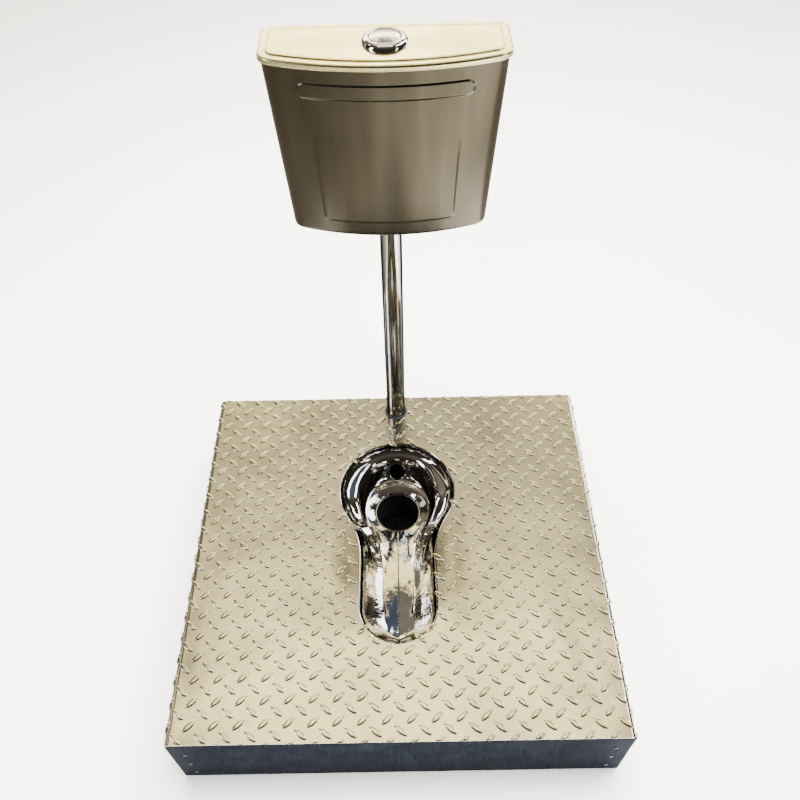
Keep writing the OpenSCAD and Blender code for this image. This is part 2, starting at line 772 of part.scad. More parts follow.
module cistern_shell() {
    foot = cist_z + foot_r;
    top = cist_top_z;
    half = 0.293 * foot_r;
    pz = cist_z + panel_z;
    color("#8a8468") difference() {
        union() {
            loft([shell_ring(cist_z, -foot_r), shell_ring(cist_z + half, -half),
                shell_ring(foot, 0), shell_ring(top, 0)]);
            for (s = [0, 1]) {
                intersection() {
                    loft([shell_ring(foot, (s + 1) * emboss_h / 2),
                        shell_ring(top, (s + 1) * emboss_h / 2)]);
                    band_cut(band_w - 3 * s, band_h - 3 * s);
                }
                intersection() {
                    loft([shell_ring(pz, (s + 1) * emboss_h / 2),
                        shell_ring(pz + panel_h, 0.05)]);
                    panel_cut(1.5 * s);
                }
            }
        }
        loft([shell_ring(cist_floor, -foot_r - cist_t, -cist_t),
            shell_ring(cist_floor + half, -half - cist_t, -cist_t),
            shell_ring(foot + cist_t, -cist_t, -cist_t), shell_ring(top + 1, -cist_t, -cist_t)]);
        translate([0, pipe_y, cist_z - 1]) cylinder(r = shank_r + bolt_fit, h = cist_t + 2);
        translate([-fill_x, pipe_y, cist_z - 1]) cylinder(r = fill_r + bolt_fit, h = cist_t + 2);
        for (x = [-1, 1]) translate([x * wall_pitch / 2, cist_y + 1, hanger_z]) rotate([90, 0, 0])
            cylinder(d = wall_hole_d, h = cist_t + 2);
    }
}

module hanging_rail() {
    color("#8d9094") difference() {
        translate([-hanger_w / 2, cist_y, hanger_z - hanger_h / 2])
            cube([hanger_w, hanger_t, hanger_h]);
        for (x = [-1, 1]) translate([x * wall_pitch / 2, wall_y + 1, hanger_z]) rotate([90, 0, 0])
            cylinder(d = wall_hole_d, h = hanger_t + 2);
    }
}

module valve_base() {
    color("#e6e6e2") translate([0, pipe_y, 0]) difference() {
        union() {
            translate([0, 0, cist_z - shank_len]) cylinder(r = shank_r, h = seat_z - cist_z + shank_len);
            translate([0, 0, cist_floor + gasket_t]) cylinder(r = seat_r, h = seat_t);
            translate([0, 0, seat_z - e]) cylinder(r = elbow_in + 2, h = lip_z - seat_z + e);
        }
        cylinder(r = elbow_in, h = lip_z + 1);
        translate([0, 0, cist_z - shank_len - 1]) cylinder(r = socket_in, h = 17);
    }
}

module valve_gasket() {
    color("#222222") translate([0, pipe_y, cist_floor]) tube(seat_r, shank_r + 0.05, gasket_t);
}

module valve_backnut() {
    color("#e6e6e2") translate([0, pipe_y, cist_z - backnut_t]) difference() {
        cylinder(r = backnut_r, h = backnut_t);
        translate([0, 0, -1]) cylinder(r = shank_r + 0.05, h = backnut_t + 2);
        for (a = [0:60:300]) rotate([0, 0, a]) translate([backnut_r + 3, 0, -1])
            cylinder(r = 5, h = backnut_t + 2, $fn = 24);
    }
}

module valve_cage() {
    w = cage_r * 0.9;
    color("#e6e6e2") translate([0, pipe_y, cage_z]) difference() {
        cylinder(r = cage_r, h = cage_h);
        translate([0, 0, -1]) cylinder(r = cage_r - 2.5, h = cage_h - 3);
        cylinder(r = tube_r + bolt_fit, h = cage_h + 1);
        for (a = [45, 135]) rotate([0, 0, a]) translate([-cage_r - 1, -w / 2, window_foot])
            cube([2 * cage_r + 2, w, cage_h - window_foot - window_head]);
    }
}

module valve_head() {
    color("#3f6fa8") difference() {
        union() {
            translate([0, pipe_y, head_z]) cylinder(r = cage_r, h = head_h);
            translate([-rod_x - 9, button_y - 12, head_z]) cube([2 * rod_x + 18, pipe_y - button_y + 12, head_h]);
        }
        translate([0, pipe_y, head_z - 1]) cylinder(r = tube_r + bolt_fit, h = head_h + 2);
        for (x = [-rod_x, rod_x]) translate([x, button_y, head_z - 1])
            cylinder(d = rod_d + 2 * bolt_fit, h = head_h + 2, $fn = 32);
    }
}

module valve_core() {
    z = core_z + core_seal_t;
    color("#d8442c") translate([0, pipe_y, z]) difference() {
        union() {
            cylinder(r = core_seal_r - 1, h = 3);
            cylinder(r = tube_r, h = arm_z + 10 - z);
        }
        translate([0, 0, -1]) cylinder(r = tube_r - tube_t, h = arm_z + 12 - z);
    }
}

module core_seal() {
    color("#222222") translate([0, pipe_y, core_z]) tube(core_seal_r, tube_r - tube_t, core_seal_t);
}

module fill_valve() {
    block = fill_block;
    color("#e6e6e2") translate([-fill_x, pipe_y, 0]) {
        difference() {
            union() {
                translate([0, 0, cist_z - inlet_len])
                    cylinder(r = inlet_r, h = inlet_len, $fn = 48);
                translate([0, 0, cist_z - fill_nut_h - 0.5])
                    cylinder(r = fill_r, h = fill_nut_h + 0.5 + cist_t + 3 + e, $fn = 48);
                translate([0, 0, cist_floor + 3]) cylinder(r = inlet_r + 6, h = 5, $fn = 48);
                translate([0, 0, cist_floor + 7])
                    cylinder(r = inlet_r - 1, h = arm_z - 12 - cist_floor - 7, $fn = 48);
            }
            translate([0, 0, cist_z - inlet_len - 1]) cylinder(r = inlet_r - 4, h = 2 * inlet_len, $fn = 48);
        }
        translate([-block / 2, -block / 2, arm_z - 13])
            cube([block / 2 + pivot_x + fill_x - 7, block, 26]);
        difference() {
            for (y = [-9, 5]) translate([pivot_x + fill_x - 8, y, arm_z - 8]) cube([14, 4, 16]);
            translate([pivot_x + fill_x, block / 2 + 3, arm_z]) rotate([90, 0, 0])
                cylinder(d = pin_d, h = block + 6, $fn = 32);
        }
    }
}

module fill_gasket() {
    color("#222222") translate([-fill_x, pipe_y, cist_floor]) tube(inlet_r + 6, fill_r + 0.05, 3);
}

module fill_nut() {
    color("#c9a24a") translate([-fill_x, pipe_y, cist_z - fill_nut_h])
        hex_nut(fill_nut_af, fill_r + 0.05, fill_nut_h);
}

module float_arm() {
    color("#c9a24a") translate([pivot_x, pipe_y, arm_z]) difference() {
        union() {
            rotate([90, 0, 0]) cylinder(r = 6, h = 8, center = true, $fn = 32);
            translate([0, -4, -3]) cube([arm_len + 8, 8, 6]);
        }
        rotate([90, 0, 0]) cylinder(r = pin_d / 2 + 0.05, h = 20, center = true, $fn = 32);
    }
}

module float() {
    color("#e8e0c8") translate([float_x, pipe_y, arm_z - 3 - float_h])
        cylinder(d = float_d, h = float_h, $fn = 48);
}

module float_pin() {
    color("#c4c6c8") translate([pivot_x, pipe_y + 10, arm_z]) rotate([90, 0, 0])
        cylinder(d = pin_d, h = 20, $fn = 32);
}

module cistern_lid() {
    z0 = lid_top - lid_rim;
    half = 0.293 * lid_edge;
    g = lid_over - lid_inset;
    color("#d9d3b4") difference() {
        union() {
            loft([lid_ring(z0, lid_over), lid_ring(lid_top - lid_edge, lid_over),
                lid_ring(lid_top - half, lid_over - half), lid_ring(lid_top, lid_over - lid_edge)]);
            loft([lid_ring(lid_top - lid_t / 2, g), lid_ring(panel_top - lid_rise / 2, g),
                lid_ring(panel_top, g - 1)]);
        }
        loft([lid_ring(z0 - 1, lid_over - lid_t), lid_ring(lid_under, lid_over - lid_t)]);
        translate([0, button_y, lid_under - 1]) cylinder(r = sleeve_d / 2 + bolt_fit, h = 10);
    }
}

module button_ring() {
    well = button_d / 2 + button_gap;
    low = -sleeve_len;
    color("#d5d8dc") translate([0, button_y, panel_top]) difference() {
        rotate_extrude($fn = 96) polygon(concat(
            [[0, low], [sleeve_d / 2, low], [sleeve_d / 2, 0], [ring_d / 2, 0]],
            [for (a = [0:10:90]) [well + 1 + (ring_d / 2 - well - 1) * cos(a), 1 + (ring_h - 1) * sin(a)]],
            [[well, ring_h - 0.8], [well, -2], [sleeve_d / 2 - sleeve_t, -3],
            [sleeve_d / 2 - sleeve_t, low + 2], [0, low + 2]]));
        for (x = [-rod_x, rod_x]) translate([x, 0, low - 1])
            cylinder(d = rod_d + 2 * bolt_fit, h = 4, $fn = 32);
    }
}

module ring_nut() {
    color("#e6e6e2") translate([0, button_y, lid_under - lid_nut_t]) difference() {
        cylinder(r = sleeve_d / 2 + 8, h = lid_nut_t, $fn = 96);
        translate([0, 0, -1]) cylinder(r = sleeve_d / 2 + 0.05, h = lid_nut_t + 2, $fn = 96);
        for (a = [0:60:300]) rotate([0, 0, a]) translate([sleeve_d / 2 + 11, 0, -1])
            cylinder(r = 5, h = lid_nut_t + 2, $fn = 24);
    }
}

// One half button: the dome on the side s of the S-shaped split
module half_button(s) {
    r = button_d / 2;
    split = [for (i = [0:16]) let (y = mix(-r - 1, r + 1, i / 16))
        [s * button_gap / 2 + split_s * sin(180 * y / (r + 1)), y]];
    color("#e2e4e8") translate([0, button_y, panel_top]) intersection() {
        rotate_extrude($fn = 96) polygon(concat([[0, 1], [r, 1]],
            [for (a = [0:15:90]) [r - 2.5 + 2.5 * cos(a), ring_h - 2.5 + 2.5 * sin(a)]],
            [for (t = [0.75, 0.5, 0.25, 0]) [(r - 2.5) * t, ring_h + 2.6 * (1 - t * t)]]));
        linear_extrude(ring_h + 5) polygon(concat(split, [[s * (r + 9), r + 1], [s * (r + 9), -r - 1]]));
    }
}

module full_flush_button() {
    half_button(1);
}

module half_flush_button() {
    half_button(-1);
}

module push_rod(x) {
    z = head_z + head_h - 10;
    color("#c4c6c8") translate([x, button_y, z]) cylinder(d = rod_d, h = panel_top + 1 - z, $fn = 32);
}

module full_push_rod() {
    push_rod(rod_x);
}

module half_push_rod() {
    push_rod(-rod_x);
}

// Return spring of one button: an unbroken coil of six-sided wire round the push rod
module spring(x) {
    turns = 6;
    wire = 0.7;
    r = rod_d / 2 + bolt_fit + wire + 1;
    low = 2 - sleeve_len + wire;
    high = 1 - wire;
    steps = turns * 8;
    gap = (high - low) / turns - 2 * wire;
    echo(spring_gap = gap);
    points = [for (i = [0:steps], j = [0:5]) let (a = 45 * i, b = 60 * j, q = r + wire * cos(b))
        [q * cos(a), q * sin(a), mix(low, high, i / steps) + wire * sin(b)]];
    color("#b5b8bb") translate([x, button_y, panel_top]) polyhedron(points = points, faces = concat(
        [[for (j = [0:5]) j]],
        [for (i = [0:steps - 1], j = [0:5]) let (a = 6 * i + j, b = 6 * i + (j + 1) % 6)
            each [[a, a + 6, b + 6], [a, b + 6, b]]],
        [[for (j = [5:-1:0]) 6 * steps + j]]));
}

module full_spring() {
    spring(rod_x);
}

module half_spring() {
    spring(-rod_x);
}

deck_plate();
front_skirt();
rear_skirt();
side_skirts();
skirt_rivets();
front_rail();
rear_rail();
side_rails();
bearers();
legs();
foot_pads();
floor_brackets();
squat_pan();
pan_clips();
clip_studs();
clip_nuts();
outlet_ring();
outlet_connector();
outlet_seal();
outlet_studs();
outlet_nuts();
inlet_spigot();
flush_elbow();
elbow_seal();
flush_pipe();
deck_grommet();
coupling_nut();
coupling_seal();
cistern_shell();
hanging_rail();
valve_base();
valve_gasket();
valve_backnut();
valve_cage();
valve_head();
valve_core();
core_seal();
fill_valve();
fill_gasket();
fill_nut();
float_arm();
float();
float_pin();
cistern_lid();
button_ring();
ring_nut();
full_flush_button();
half_flush_button();
full_push_rod();
half_push_rod();
full_spring();
half_spring();
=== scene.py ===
import math
from functools import partial

import bmesh
import bpy
import numpy as np
from mathutils import Matrix, Vector


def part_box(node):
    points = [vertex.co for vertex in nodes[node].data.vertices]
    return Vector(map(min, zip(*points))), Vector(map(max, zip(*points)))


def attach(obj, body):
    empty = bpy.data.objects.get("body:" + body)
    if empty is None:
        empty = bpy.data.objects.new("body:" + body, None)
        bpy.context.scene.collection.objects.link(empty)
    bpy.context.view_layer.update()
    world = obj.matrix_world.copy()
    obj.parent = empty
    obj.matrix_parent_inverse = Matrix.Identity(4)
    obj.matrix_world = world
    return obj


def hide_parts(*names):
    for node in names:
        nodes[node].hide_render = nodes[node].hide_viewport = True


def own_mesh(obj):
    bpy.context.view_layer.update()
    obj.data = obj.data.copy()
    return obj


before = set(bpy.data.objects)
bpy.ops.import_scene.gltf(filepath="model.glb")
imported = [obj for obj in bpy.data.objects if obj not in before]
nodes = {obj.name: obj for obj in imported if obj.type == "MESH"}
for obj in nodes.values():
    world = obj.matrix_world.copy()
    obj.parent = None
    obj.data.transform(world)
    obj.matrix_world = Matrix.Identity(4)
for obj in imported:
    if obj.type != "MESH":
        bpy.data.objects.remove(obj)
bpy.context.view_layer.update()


# Deck: one sheet of stainless tread plate, 2 mm thick, with its sides bent down over the
# frame. It was rolled bright, so it throws back the sky above it, softly and unevenly, with
# the slow waves of a sheet that has been bent and cut.
DECK_TOP = 0.200
DECK_DEPTH = 0.850
PAN_CENTRE = 0.144
HEAD_RADIUS = 0.136


def linear(code):
    """An sRGB hex colour in linear light."""
    parts = [int(code[i : i + 2], 16) / 255 for i in (1, 3, 5)]
    return [c / 12.92 if c <= 0.04045 else ((c + 0.055) / 1.055) ** 2.4 for c in parts] + [1.0]


def fit(tree, kind, sockets=None, **settings):
    """Adds one node to a tree, with its settings and what feeds its sockets."""
    made = tree.nodes.new(kind)
    for name, value in settings.items():
        setattr(made, name, value)
    for name, value in (sockets or {}).items():
        if isinstance(value, bpy.types.NodeSocket):
            tree.links.new(value, made.inputs[name])
        else:
            made.inputs[name].default_value = value
    return made


def feed(tree, kind, sockets=None, **settings):
    """Adds one node and returns its first output."""
    return fit(tree, kind, sockets, **settings).outputs[0]


def start_finish(name, **constants):
    """A new material: its tree, its shader and the object coordinates in metres."""
    finish = bpy.data.materials.new(name)
    finish.use_nodes = True
    tree = finish.node_tree
    tree.nodes.clear()
    shader = fit(tree, "ShaderNodeBsdfPrincipled")
    for key, value in constants.items():
        shader.inputs[key.replace("_", " ")].default_value = value
    fit(tree, "ShaderNodeOutputMaterial", {"Surface": shader.outputs["BSDF"]})
    return finish, tree, shader, fit(tree, "ShaderNodeTexCoord").outputs["Object"]


def tint(tree, mask, stops):
    """Colours along a mask, from pairs of place and hex colour."""
    ramp = fit(tree, "ShaderNodeValToRGB", {"Fac": mask})
    while len(ramp.color_ramp.elements) < len(stops):
        ramp.color_ramp.elements.new(0.5)
    for element, (place, code) in zip(ramp.color_ramp.elements, stops):
        element.position = place
        element.color = linear(code)
    return ramp.outputs["Color"]


def grain(tree, place, size, detail=2.0, roughness=0.5, stretch=(1, 1, 1)):
    """Noise whose cells are about size metres across, drawn out by stretch along X, Y and Z."""
    scale = [1 / (size * s) for s in stretch]
    spread = feed(tree, "ShaderNodeMapping", {"Vector": place, "Scale": scale})
    cells = {"Vector": spread, "Scale": 1.0, "Detail": detail, "Roughness": roughness}
    return feed(tree, "ShaderNodeTexNoise", cells)


def span(tree, value, low, high, out_low=0.0, out_high=1.0):
    """Maps a value's range to another, and stops at its ends."""
    ends = {"Value": value, "From Min": low, "From Max": high}
    ends |= {"To Min": out_low, "To Max": out_high}
    return feed(tree, "ShaderNodeMapRange", ends)


def parts(tree, vector):
    """The X, Y and Z of a vector."""
    return fit(tree, "ShaderNodeSeparateXYZ", {"Vector": vector}).outputs


def dress(node_names, finish):
    """Gives CAD nodes their material."""
    for name in node_names:
        mesh = nodes[name].data
        mesh.materials.clear()
        mesh.materials.append(finish)


def bump(tree, height, depth, strength, under=None):
    """A relief of some depth in metres, laid over another where there is one."""
    sockets = {"Height": height, "Distance": depth, "Strength": strength}
    if under is not None:
        sockets["Normal"] = under
    return feed(tree, "ShaderNodeBump", sockets)


def coat(tree, shader, colour, rough, relief=None):
    """Feeds a shader its colour, its roughness and its relief."""
    for name, source in (("Base Color", colour), ("Roughness", rough), ("Normal", relief)):
        if source is not None:
            tree.links.new(source, shader.inputs[name])


tread_steel, tree, shader, place = start_finish("bright_rolled_tread_plate", Metallic=1.0)
waves = grain(tree, place, 0.090, 1.0, stretch=(1, 1.4, 1))
smears = grain(tree, place, 0.160, 3.0, 0.6)
scuffs = grain(tree, place, 0.0035, 3.0, 0.7, stretch=(3, 1, 1))
colour = tint(tree, smears, [(0.30, "#bdb9a6"), (0.52, "#d6d1b8"), (0.72, "#e4dec4")])
relief = bump(tree, scuffs, 0.00004, 0.5, bump(tree, waves, 0.0030, 0.8))
coat(tree, shader, colour, span(tree, scuffs, 0.3, 0.8, 0.15, 0.27), relief)
dress(["deck_plate"], tread_steel)


# Tread: lozenges 32 mm long, raised 2.6 mm by the roll, in rows that lean to the left and to
# the right in turn. The bend carries them round the deck's edges, and the shears and the
# pan's opening cut through them.
LOZENGE = (0.0320, 0.0114, 0.0026)
TREAD_PITCH = (0.0478, 0.04575)
TREAD_ORIGIN = (-0.00662, -0.01596)
TREAD_TURN = math.radians(1.17)
LOZENGE_LEAN = math.radians(43)
LOZENGE_SIDES = 14
BEND_START, BEND_RADIUS = 0.438, 0.012
BEND_FOOT = 0.162
PIPE_PLACE = (0.0, 0.382)
PIPE_HOLE = 0.030
PAN_LENGTH, THROAT, NECK_RADIUS = 0.514, 0.085, 0.200
FRONT_Y = PAN_CENTRE + HEAD_RADIUS - PAN_LENGTH
ARC_Y = FRONT_Y + THROAT
NECK_X = THROAT + NECK_RADIUS
NECK_Y = PAN_CENTRE - math.sqrt((HEAD_RADIUS + NECK_RADIUS) ** 2 - NECK_X**2)
NECK_ANGLE = math.atan2(PAN_CENTRE - NECK_Y, NECK_X)
JOIN_Y = PAN_CENTRE - HEAD_RADIUS * math.sin(NECK_ANGLE)


def put(name, data):
    """A new object in the scene."""
    made = bpy.data.objects.new(name, data)
    bpy.context.scene.collection.objects.link(made)
    return made


def plain_mesh(name, verts, faces, smooth=True):
    """A new object from vertices and faces, linked to the scene."""
    mesh = bpy.data.meshes.new(name)
    mesh.from_pydata([tuple(v) for v in verts], [], [tuple(int(i) for i in f) for f in faces])
    mesh.validate()
    if smooth:
        mesh.shade_smooth()
    return put(name, mesh)


def wall_faces(count, rings, closed=False):
    """Quads between rings of points; closed joins the last ring to the first."""
    sides = [(i, (i + 1) % count) for i in range(count)]
    faces = []
    for j in range(rings if closed else rings - 1):
        low, high = j * count, (j + 1) % rings * count
        faces += [(low + a, low + b, high + b, high + a) for a, b in sides]
    return faces


def stack_rings(name, rings, smooth=True):
    """A closed shape from rings of points, one above the other, with a cap at each end."""
    around = len(rings[0])
    faces = wall_faces(around, len(rings))
    faces.append(range(around - 1, -1, -1))
    faces.append(range((len(rings) - 1) * around, len(rings) * around))
    return plain_mesh(name, [v for ring in rings for v in ring], faces, smooth)


def lozenge_blank():
    """One raised lozenge, with pointed ends and a domed back, its foot just below the sheet."""
    length, width, height = LOZENGE
    levels = [(1.06, -0.3), (1.0, 0.0), (0.96, 0.42), (0.89, 0.78), (0.74, 0.94), (0.40, 1.0)]
    outline = []
    for angle in np.linspace(0, 2 * math.pi, LOZENGE_SIDES, False):
        narrow = math.copysign(abs(math.sin(angle)) ** 1.25, math.sin(angle))
        outline.append((length / 2 * math.cos(angle), width / 2 * narrow))
    rings = [[(s * x, s * y, level * height) for x, y in outline] for s, level in levels]
    return stack_rings("lozenge_blank", rings)


def start_tree(name, sizes):
    """An empty Geometry Nodes tree, with named inputs and one geometry output."""
    tree = bpy.data.node_groups.new(name, "GeometryNodeTree")
    tree.interface.new_socket("Geometry", in_out="OUTPUT", socket_type="NodeSocketGeometry")
    for label, kind, value in sizes:
        socket = tree.interface.new_socket(label, in_out="INPUT", socket_type="NodeSocket" + kind)
        if value is not None:
            socket.default_value = value
    return tree, fit(tree, "NodeGroupInput").outputs


def math_node(tree, operation, first, second=0.0):
    """The value of one sum."""
    return feed(tree, "ShaderNodeMath", {0: first, 1: second}, operation=operation)


def close_tree(tree, geometry, finish):
    """Realizes what the tree made, gives it its material and ends the tree."""
    real = feed(tree, "GeometryNodeRealizeInstances", {"Geometry": geometry})
    made = feed(tree, "GeometryNodeSetMaterial", {"Geometry": real, "Material": finish})
    fit(tree, "NodeGroupOutput", {"Geometry": made})


def set_form(piece):
    """Makes what a piece's modifiers give it its plain mesh."""
    ready = piece.evaluated_get(bpy.context.evaluated_depsgraph_get())
    mesh = bpy.data.meshes.new_from_object(ready)
    piece.modifiers.clear()
    piece.data = mesh
    return piece


def bake_tree(name, tree, values):
    """Runs a tree on an empty object and keeps the result as a plain mesh."""
    host = plain_mesh(name + "_host", [], [])
    modifier = host.modifiers.new("form", "NODES")
    modifier.node_group = tree
    for item in tree.interface.items_tree:
        if item.in_out == "INPUT" and item.name in values:
            modifier[item.identifier] = values[item.name]
    mesh = set_form(host).data
    mesh.name = name
    bpy.data.objects.remove(host)
    mesh.shade_smooth()
    return put(name, mesh)


sizes = [
    ("Lozenge", "Object", None),
    ("Column pitch", "Float", TREAD_PITCH[0]),
    ("Row pitch", "Float", TREAD_PITCH[1]),
    ("Columns", "Int", 22),
    ("Rows", "Int", 21),
    ("Turn", "Float", TREAD_TURN),
    ("Lean", "Float", LOZENGE_LEAN),
    ("Origin", "Vector", (*TREAD_ORIGIN, DECK_TOP)),
    ("Bend start", "Float", BEND_START),
    ("Bend radius", "Float", BEND_RADIUS),
]
tree, size = start_tree("tread_pattern", sizes)
calc = partial(math_node, tree)
blank = fit(tree, "GeometryNodeObjectInfo", {"Object": size["Lozenge"]}).outputs["Geometry"]
across = calc("MULTIPLY", size["Column pitch"], calc("SUBTRACT", size["Columns"], 1.0))
along = calc("MULTIPLY", size["Row pitch"], calc("SUBTRACT", size["Rows"], 1.0))
lattice = {"Size X": across, "Size Y": along}
lattice |= {"Vertices X": size["Columns"], "Vertices Y": size["Rows"]}
lattice = feed(tree, "GeometryNodeMeshGrid", lattice)
half_column, half_row = (calc("MULTIPLY", size[f"{way} pitch"], 0.5) for way in ("Column", "Row"))
half_step = feed(tree, "ShaderNodeCombineXYZ", {"X": half_column, "Y": half_row})
shifted = feed(tree, "GeometryNodeSetPosition", {"Geometry": lattice, "Offset": half_step})
both = fit(tree, "GeometryNodeJoinGeometry")
for points, lean in ((lattice, size["Lean"]), (shifted, calc("MULTIPLY", size["Lean"], -1.0))):
    turned = feed(tree, "ShaderNodeCombineXYZ", {"Z": lean})
    rows = {"Points": points, "Instance": blank, "Rotation": turned}
    rows = feed(tree, "GeometryNodeInstanceOnPoints", rows)
    tree.links.new(rows, both.inputs["Geometry"])
whole_turn = feed(tree, "ShaderNodeCombineXYZ", {"Z": size["Turn"]})
laid = {"Geometry": both.outputs["Geometry"], "Translation": size["Origin"]}
laid = feed(tree, "GeometryNodeTransform", {**laid, "Rotation": whole_turn})
laid = feed(tree, "GeometryNodeRealizeInstances", {"Geometry": laid})
point = parts(tree, feed(tree, "GeometryNodeInputPosition"))
side, reach = calc("SIGN", point["X"]), calc("ABSOLUTE", point["X"])
height = calc("SUBTRACT", point["Z"], DECK_TOP)
past = calc("MAXIMUM", calc("SUBTRACT", reach, size["Bend start"]), 0.0)
angle = calc("MINIMUM", calc("DIVIDE", past, size["Bend radius"]), math.pi / 2)
down = calc("SUBTRACT", past, calc("MULTIPLY", size["Bend radius"], math.pi / 2))
down = calc("MAXIMUM", down, 0.0)
arm = calc("ADD", size["Bend radius"], height)
out = calc("MULTIPLY", arm, calc("SINE", angle))
out = calc("ADD", calc("MINIMUM", reach, size["Bend start"]), out)
rise = calc("MULTIPLY", arm, calc("COSINE", angle))
rise = calc("SUBTRACT", rise, calc("ADD", size["Bend radius"], down))
bent = {"X": calc("MULTIPLY", side, out), "Y": point["Y"], "Z": calc("ADD", rise, DECK_TOP)}
bent = feed(tree, "ShaderNodeCombineXYZ", bent)
bent = feed(tree, "GeometryNodeSetPosition", {"Geometry": laid, "Position": bent})
close_tree(tree, bent, tread_steel)

blank = lozenge_blank()
tread = bake_tree("tread_lozenges", tree, {"Lozenge": blank})
bpy.data.objects.remove(blank)


def pan_reach(x, y):
    """How far a point of the deck lies outside the pan's opening; negative inside it."""
    x = abs(x)
    if y > JOIN_Y:
        return math.hypot(x, y - PAN_CENTRE) - HEAD_RADIUS
    if y > NECK_Y:
        return NECK_RADIUS - math.hypot(NECK_X - x, y - NECK_Y)
    if y > ARC_Y:
        return x - THROAT
    return math.hypot(x, y - ARC_Y) - THROAT


def off_pipe(x, y):
    """How far a point of the deck lies outside the pipe's hole."""
    return math.hypot(x - PIPE_PLACE[0], y - PIPE_PLACE[1]) - PIPE_HOLE


def trim_tread(piece):
    """Cuts the lozenges at the sheet's sheared edges, the pan's opening and the pipe's hole."""
    shape = bmesh.new()
    shape.from_mesh(piece.data)
    for edge_y, normal in ((-DECK_DEPTH / 2, -1), (DECK_DEPTH / 2, 1)):
        every = shape.verts[:] + shape.edges[:] + shape.faces[:]
        plane = {"plane_co": (0, edge_y, 0), "plane_no": (0, normal, 0), "clear_outer": True}
        cut = bmesh.ops.bisect_plane(shape, geom=every, dist=1e-6, **plane)
        edges = [g for g in cut["geom_cut"] if isinstance(g, bmesh.types.BMEdge)]
        bmesh.ops.holes_fill(shape, edges=edges, sides=0)
    seen, lost = set(), []
    least, sunk = 0.005, DECK_TOP - 0.0002
    for first in shape.verts:
        island, queue = [], [first]
        while queue:
            vert = queue.pop()
            if vert not in seen:
                seen.add(vert)
                island.append(vert)
                queue += [edge.other_vert(vert) for edge in vert.link_edges]
        if not island:
            continue
        away = [min(pan_reach(*v.co.xy), off_pipe(*v.co.xy)) for v in island]
        low = min(v.co.z for v in island)
        if max(away) < least or low < BEND_FOOT or sum(away) / len(away) < -0.001:
            lost += island
            continue
        for vert, gap in zip(island, away):
            if gap < 0.0006:
                vert.co.z = min(vert.co.z, sunk)
    bmesh.ops.delete(shape, geom=lost, context="VERTS")
    shape.to_mesh(piece.data)
    shape.free()


trim_tread(tread)
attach(tread, "toilet")


# Skirts: stainless sheet, 1.5 mm, folded in at the foot and riveted to the frame. Nothing
# bright stands in front of them, and their colour is also painted blue-black, a painted shade,
# with the faint streaks of the mill's rolls running from top to bottom.
dim_edge = {"Metallic": 1.0, "Specular_Tint": (0.42, 0.42, 0.42, 1.0)}
skirt_steel, tree, shader, place = start_finish("cold_rolled_skirt_sheet", **dim_edge)
streaks = grain(tree, place, 0.004, 3.0, 0.6, stretch=(1, 1, 18))
patches = grain(tree, place, 0.070, 3.0, 0.6, stretch=(1, 1, 0.7))
rolled = feed(tree, "ShaderNodeMix", {"Factor": 0.45, "A": streaks, "B": patches})
# Painted shade: these near-black colours stand in for the dark that the skirts face.
colour = tint(tree, rolled, [(0.30, "#1d2026"), (0.50, "#272b32"), (0.68, "#353a43")])
rough = span(tree, streaks, 0.3, 0.7, 0.30, 0.48)
coat(tree, shader, colour, rough, bump(tree, streaks, 0.00005, 0.4))
dress(["front_skirt", "rear_skirt", "side_skirts"], skirt_steel)


# Rivets: blind stainless rivets, 7 mm across the head, which pull the skirts and the deck's
# bent sides to the frame. The dimple is where the mandrel broke off.
RIVET_RADIUS = 0.0035
rivet_steel, tree, shader, place = start_finish("drawn_rivet_stainless", Metallic=1.0)
dulled = grain(tree, place, 0.0012, 3.0, 0.6)
colour = tint(tree, dulled, [(0.3, "#4c5157"), (0.7, "#73787e")])
coat(tree, shader, colour, span(tree, dulled, 0.3, 0.7, 0.38, 0.55))


def rivet_points():
    """A cloud with a point for each rivet of the CAD node and the direction that it faces."""
    groups = []
    for p in np.array([v.co for v in nodes["skirt_rivets"].data.vertices]):
        near = [group for group in groups if np.linalg.norm(group[0] - p) < 0.012]
        if near:
            near[0].append(p)
        else:
            groups.append([p])
    centres, axes = [], []
    for group in groups:
        low, high = np.min(group, 0), np.max(group, 0)
        centre, axis = (low + high) / 2, [0.0, 0.0, 0.0]
        thin = int(np.argmin(high - low))
        axis[thin] = 1.0 if centre[thin] > 0 else -1.0
        centre[thin] = low[thin] if axis[thin] > 0 else high[thin]
        centres.append(centre)
        axes += axis
    cloud = plain_mesh("rivet_places", centres, [])
    facing = cloud.data.attributes.new("facing", "FLOAT_VECTOR", "POINT")
    facing.data.foreach_set("vector", axes)
    return cloud


sizes = [("Places", "Object", None), ("Rivet", "Object", None)]
tree, size = start_tree("rivet_rows", sizes)
places, head = (
    fit(tree, "GeometryNodeObjectInfo", {"Object": size[given]}).outputs["Geometry"]
    for given in ("Places", "Rivet")
)
facing = {"Name": "facing"}
facing = feed(tree, "GeometryNodeInputNamedAttribute", facing, data_type="FLOAT_VECTOR")
aim = feed(tree, "FunctionNodeAlignRotationToVector", {"Vector": facing}, axis="Z")
heads = {"Points": places, "Instance": head, "Rotation": aim}
heads = feed(tree, "GeometryNodeInstanceOnPoints", heads)
close_tree(tree, heads, rivet_steel)

r = RIVET_RADIUS
profile = [(r, 0.0), (r, 0.00035), (0.93 * r, 0.0008), (0.72 * r, 0.00125), (0.42 * r, 0.0015)]
profile += [(0.34 * r, 0.0014), (0.30 * r, 0.0009), (0.10 * r, 0.0008)]
turns = np.linspace(0, 2 * math.pi, 20, False)
rings = [[(x * math.cos(a), x * math.sin(a), level) for a in turns] for x, level in profile]
head = stack_rings("rivet_head", rings)
cloud = rivet_points()
rivets = bake_tree("rivet_heads", tree, {"Places": cloud, "Rivet": head})
for spare in (head, cloud):
    bpy.data.objects.remove(spare)
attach(rivets, "toilet")
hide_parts("skirt_rivets")


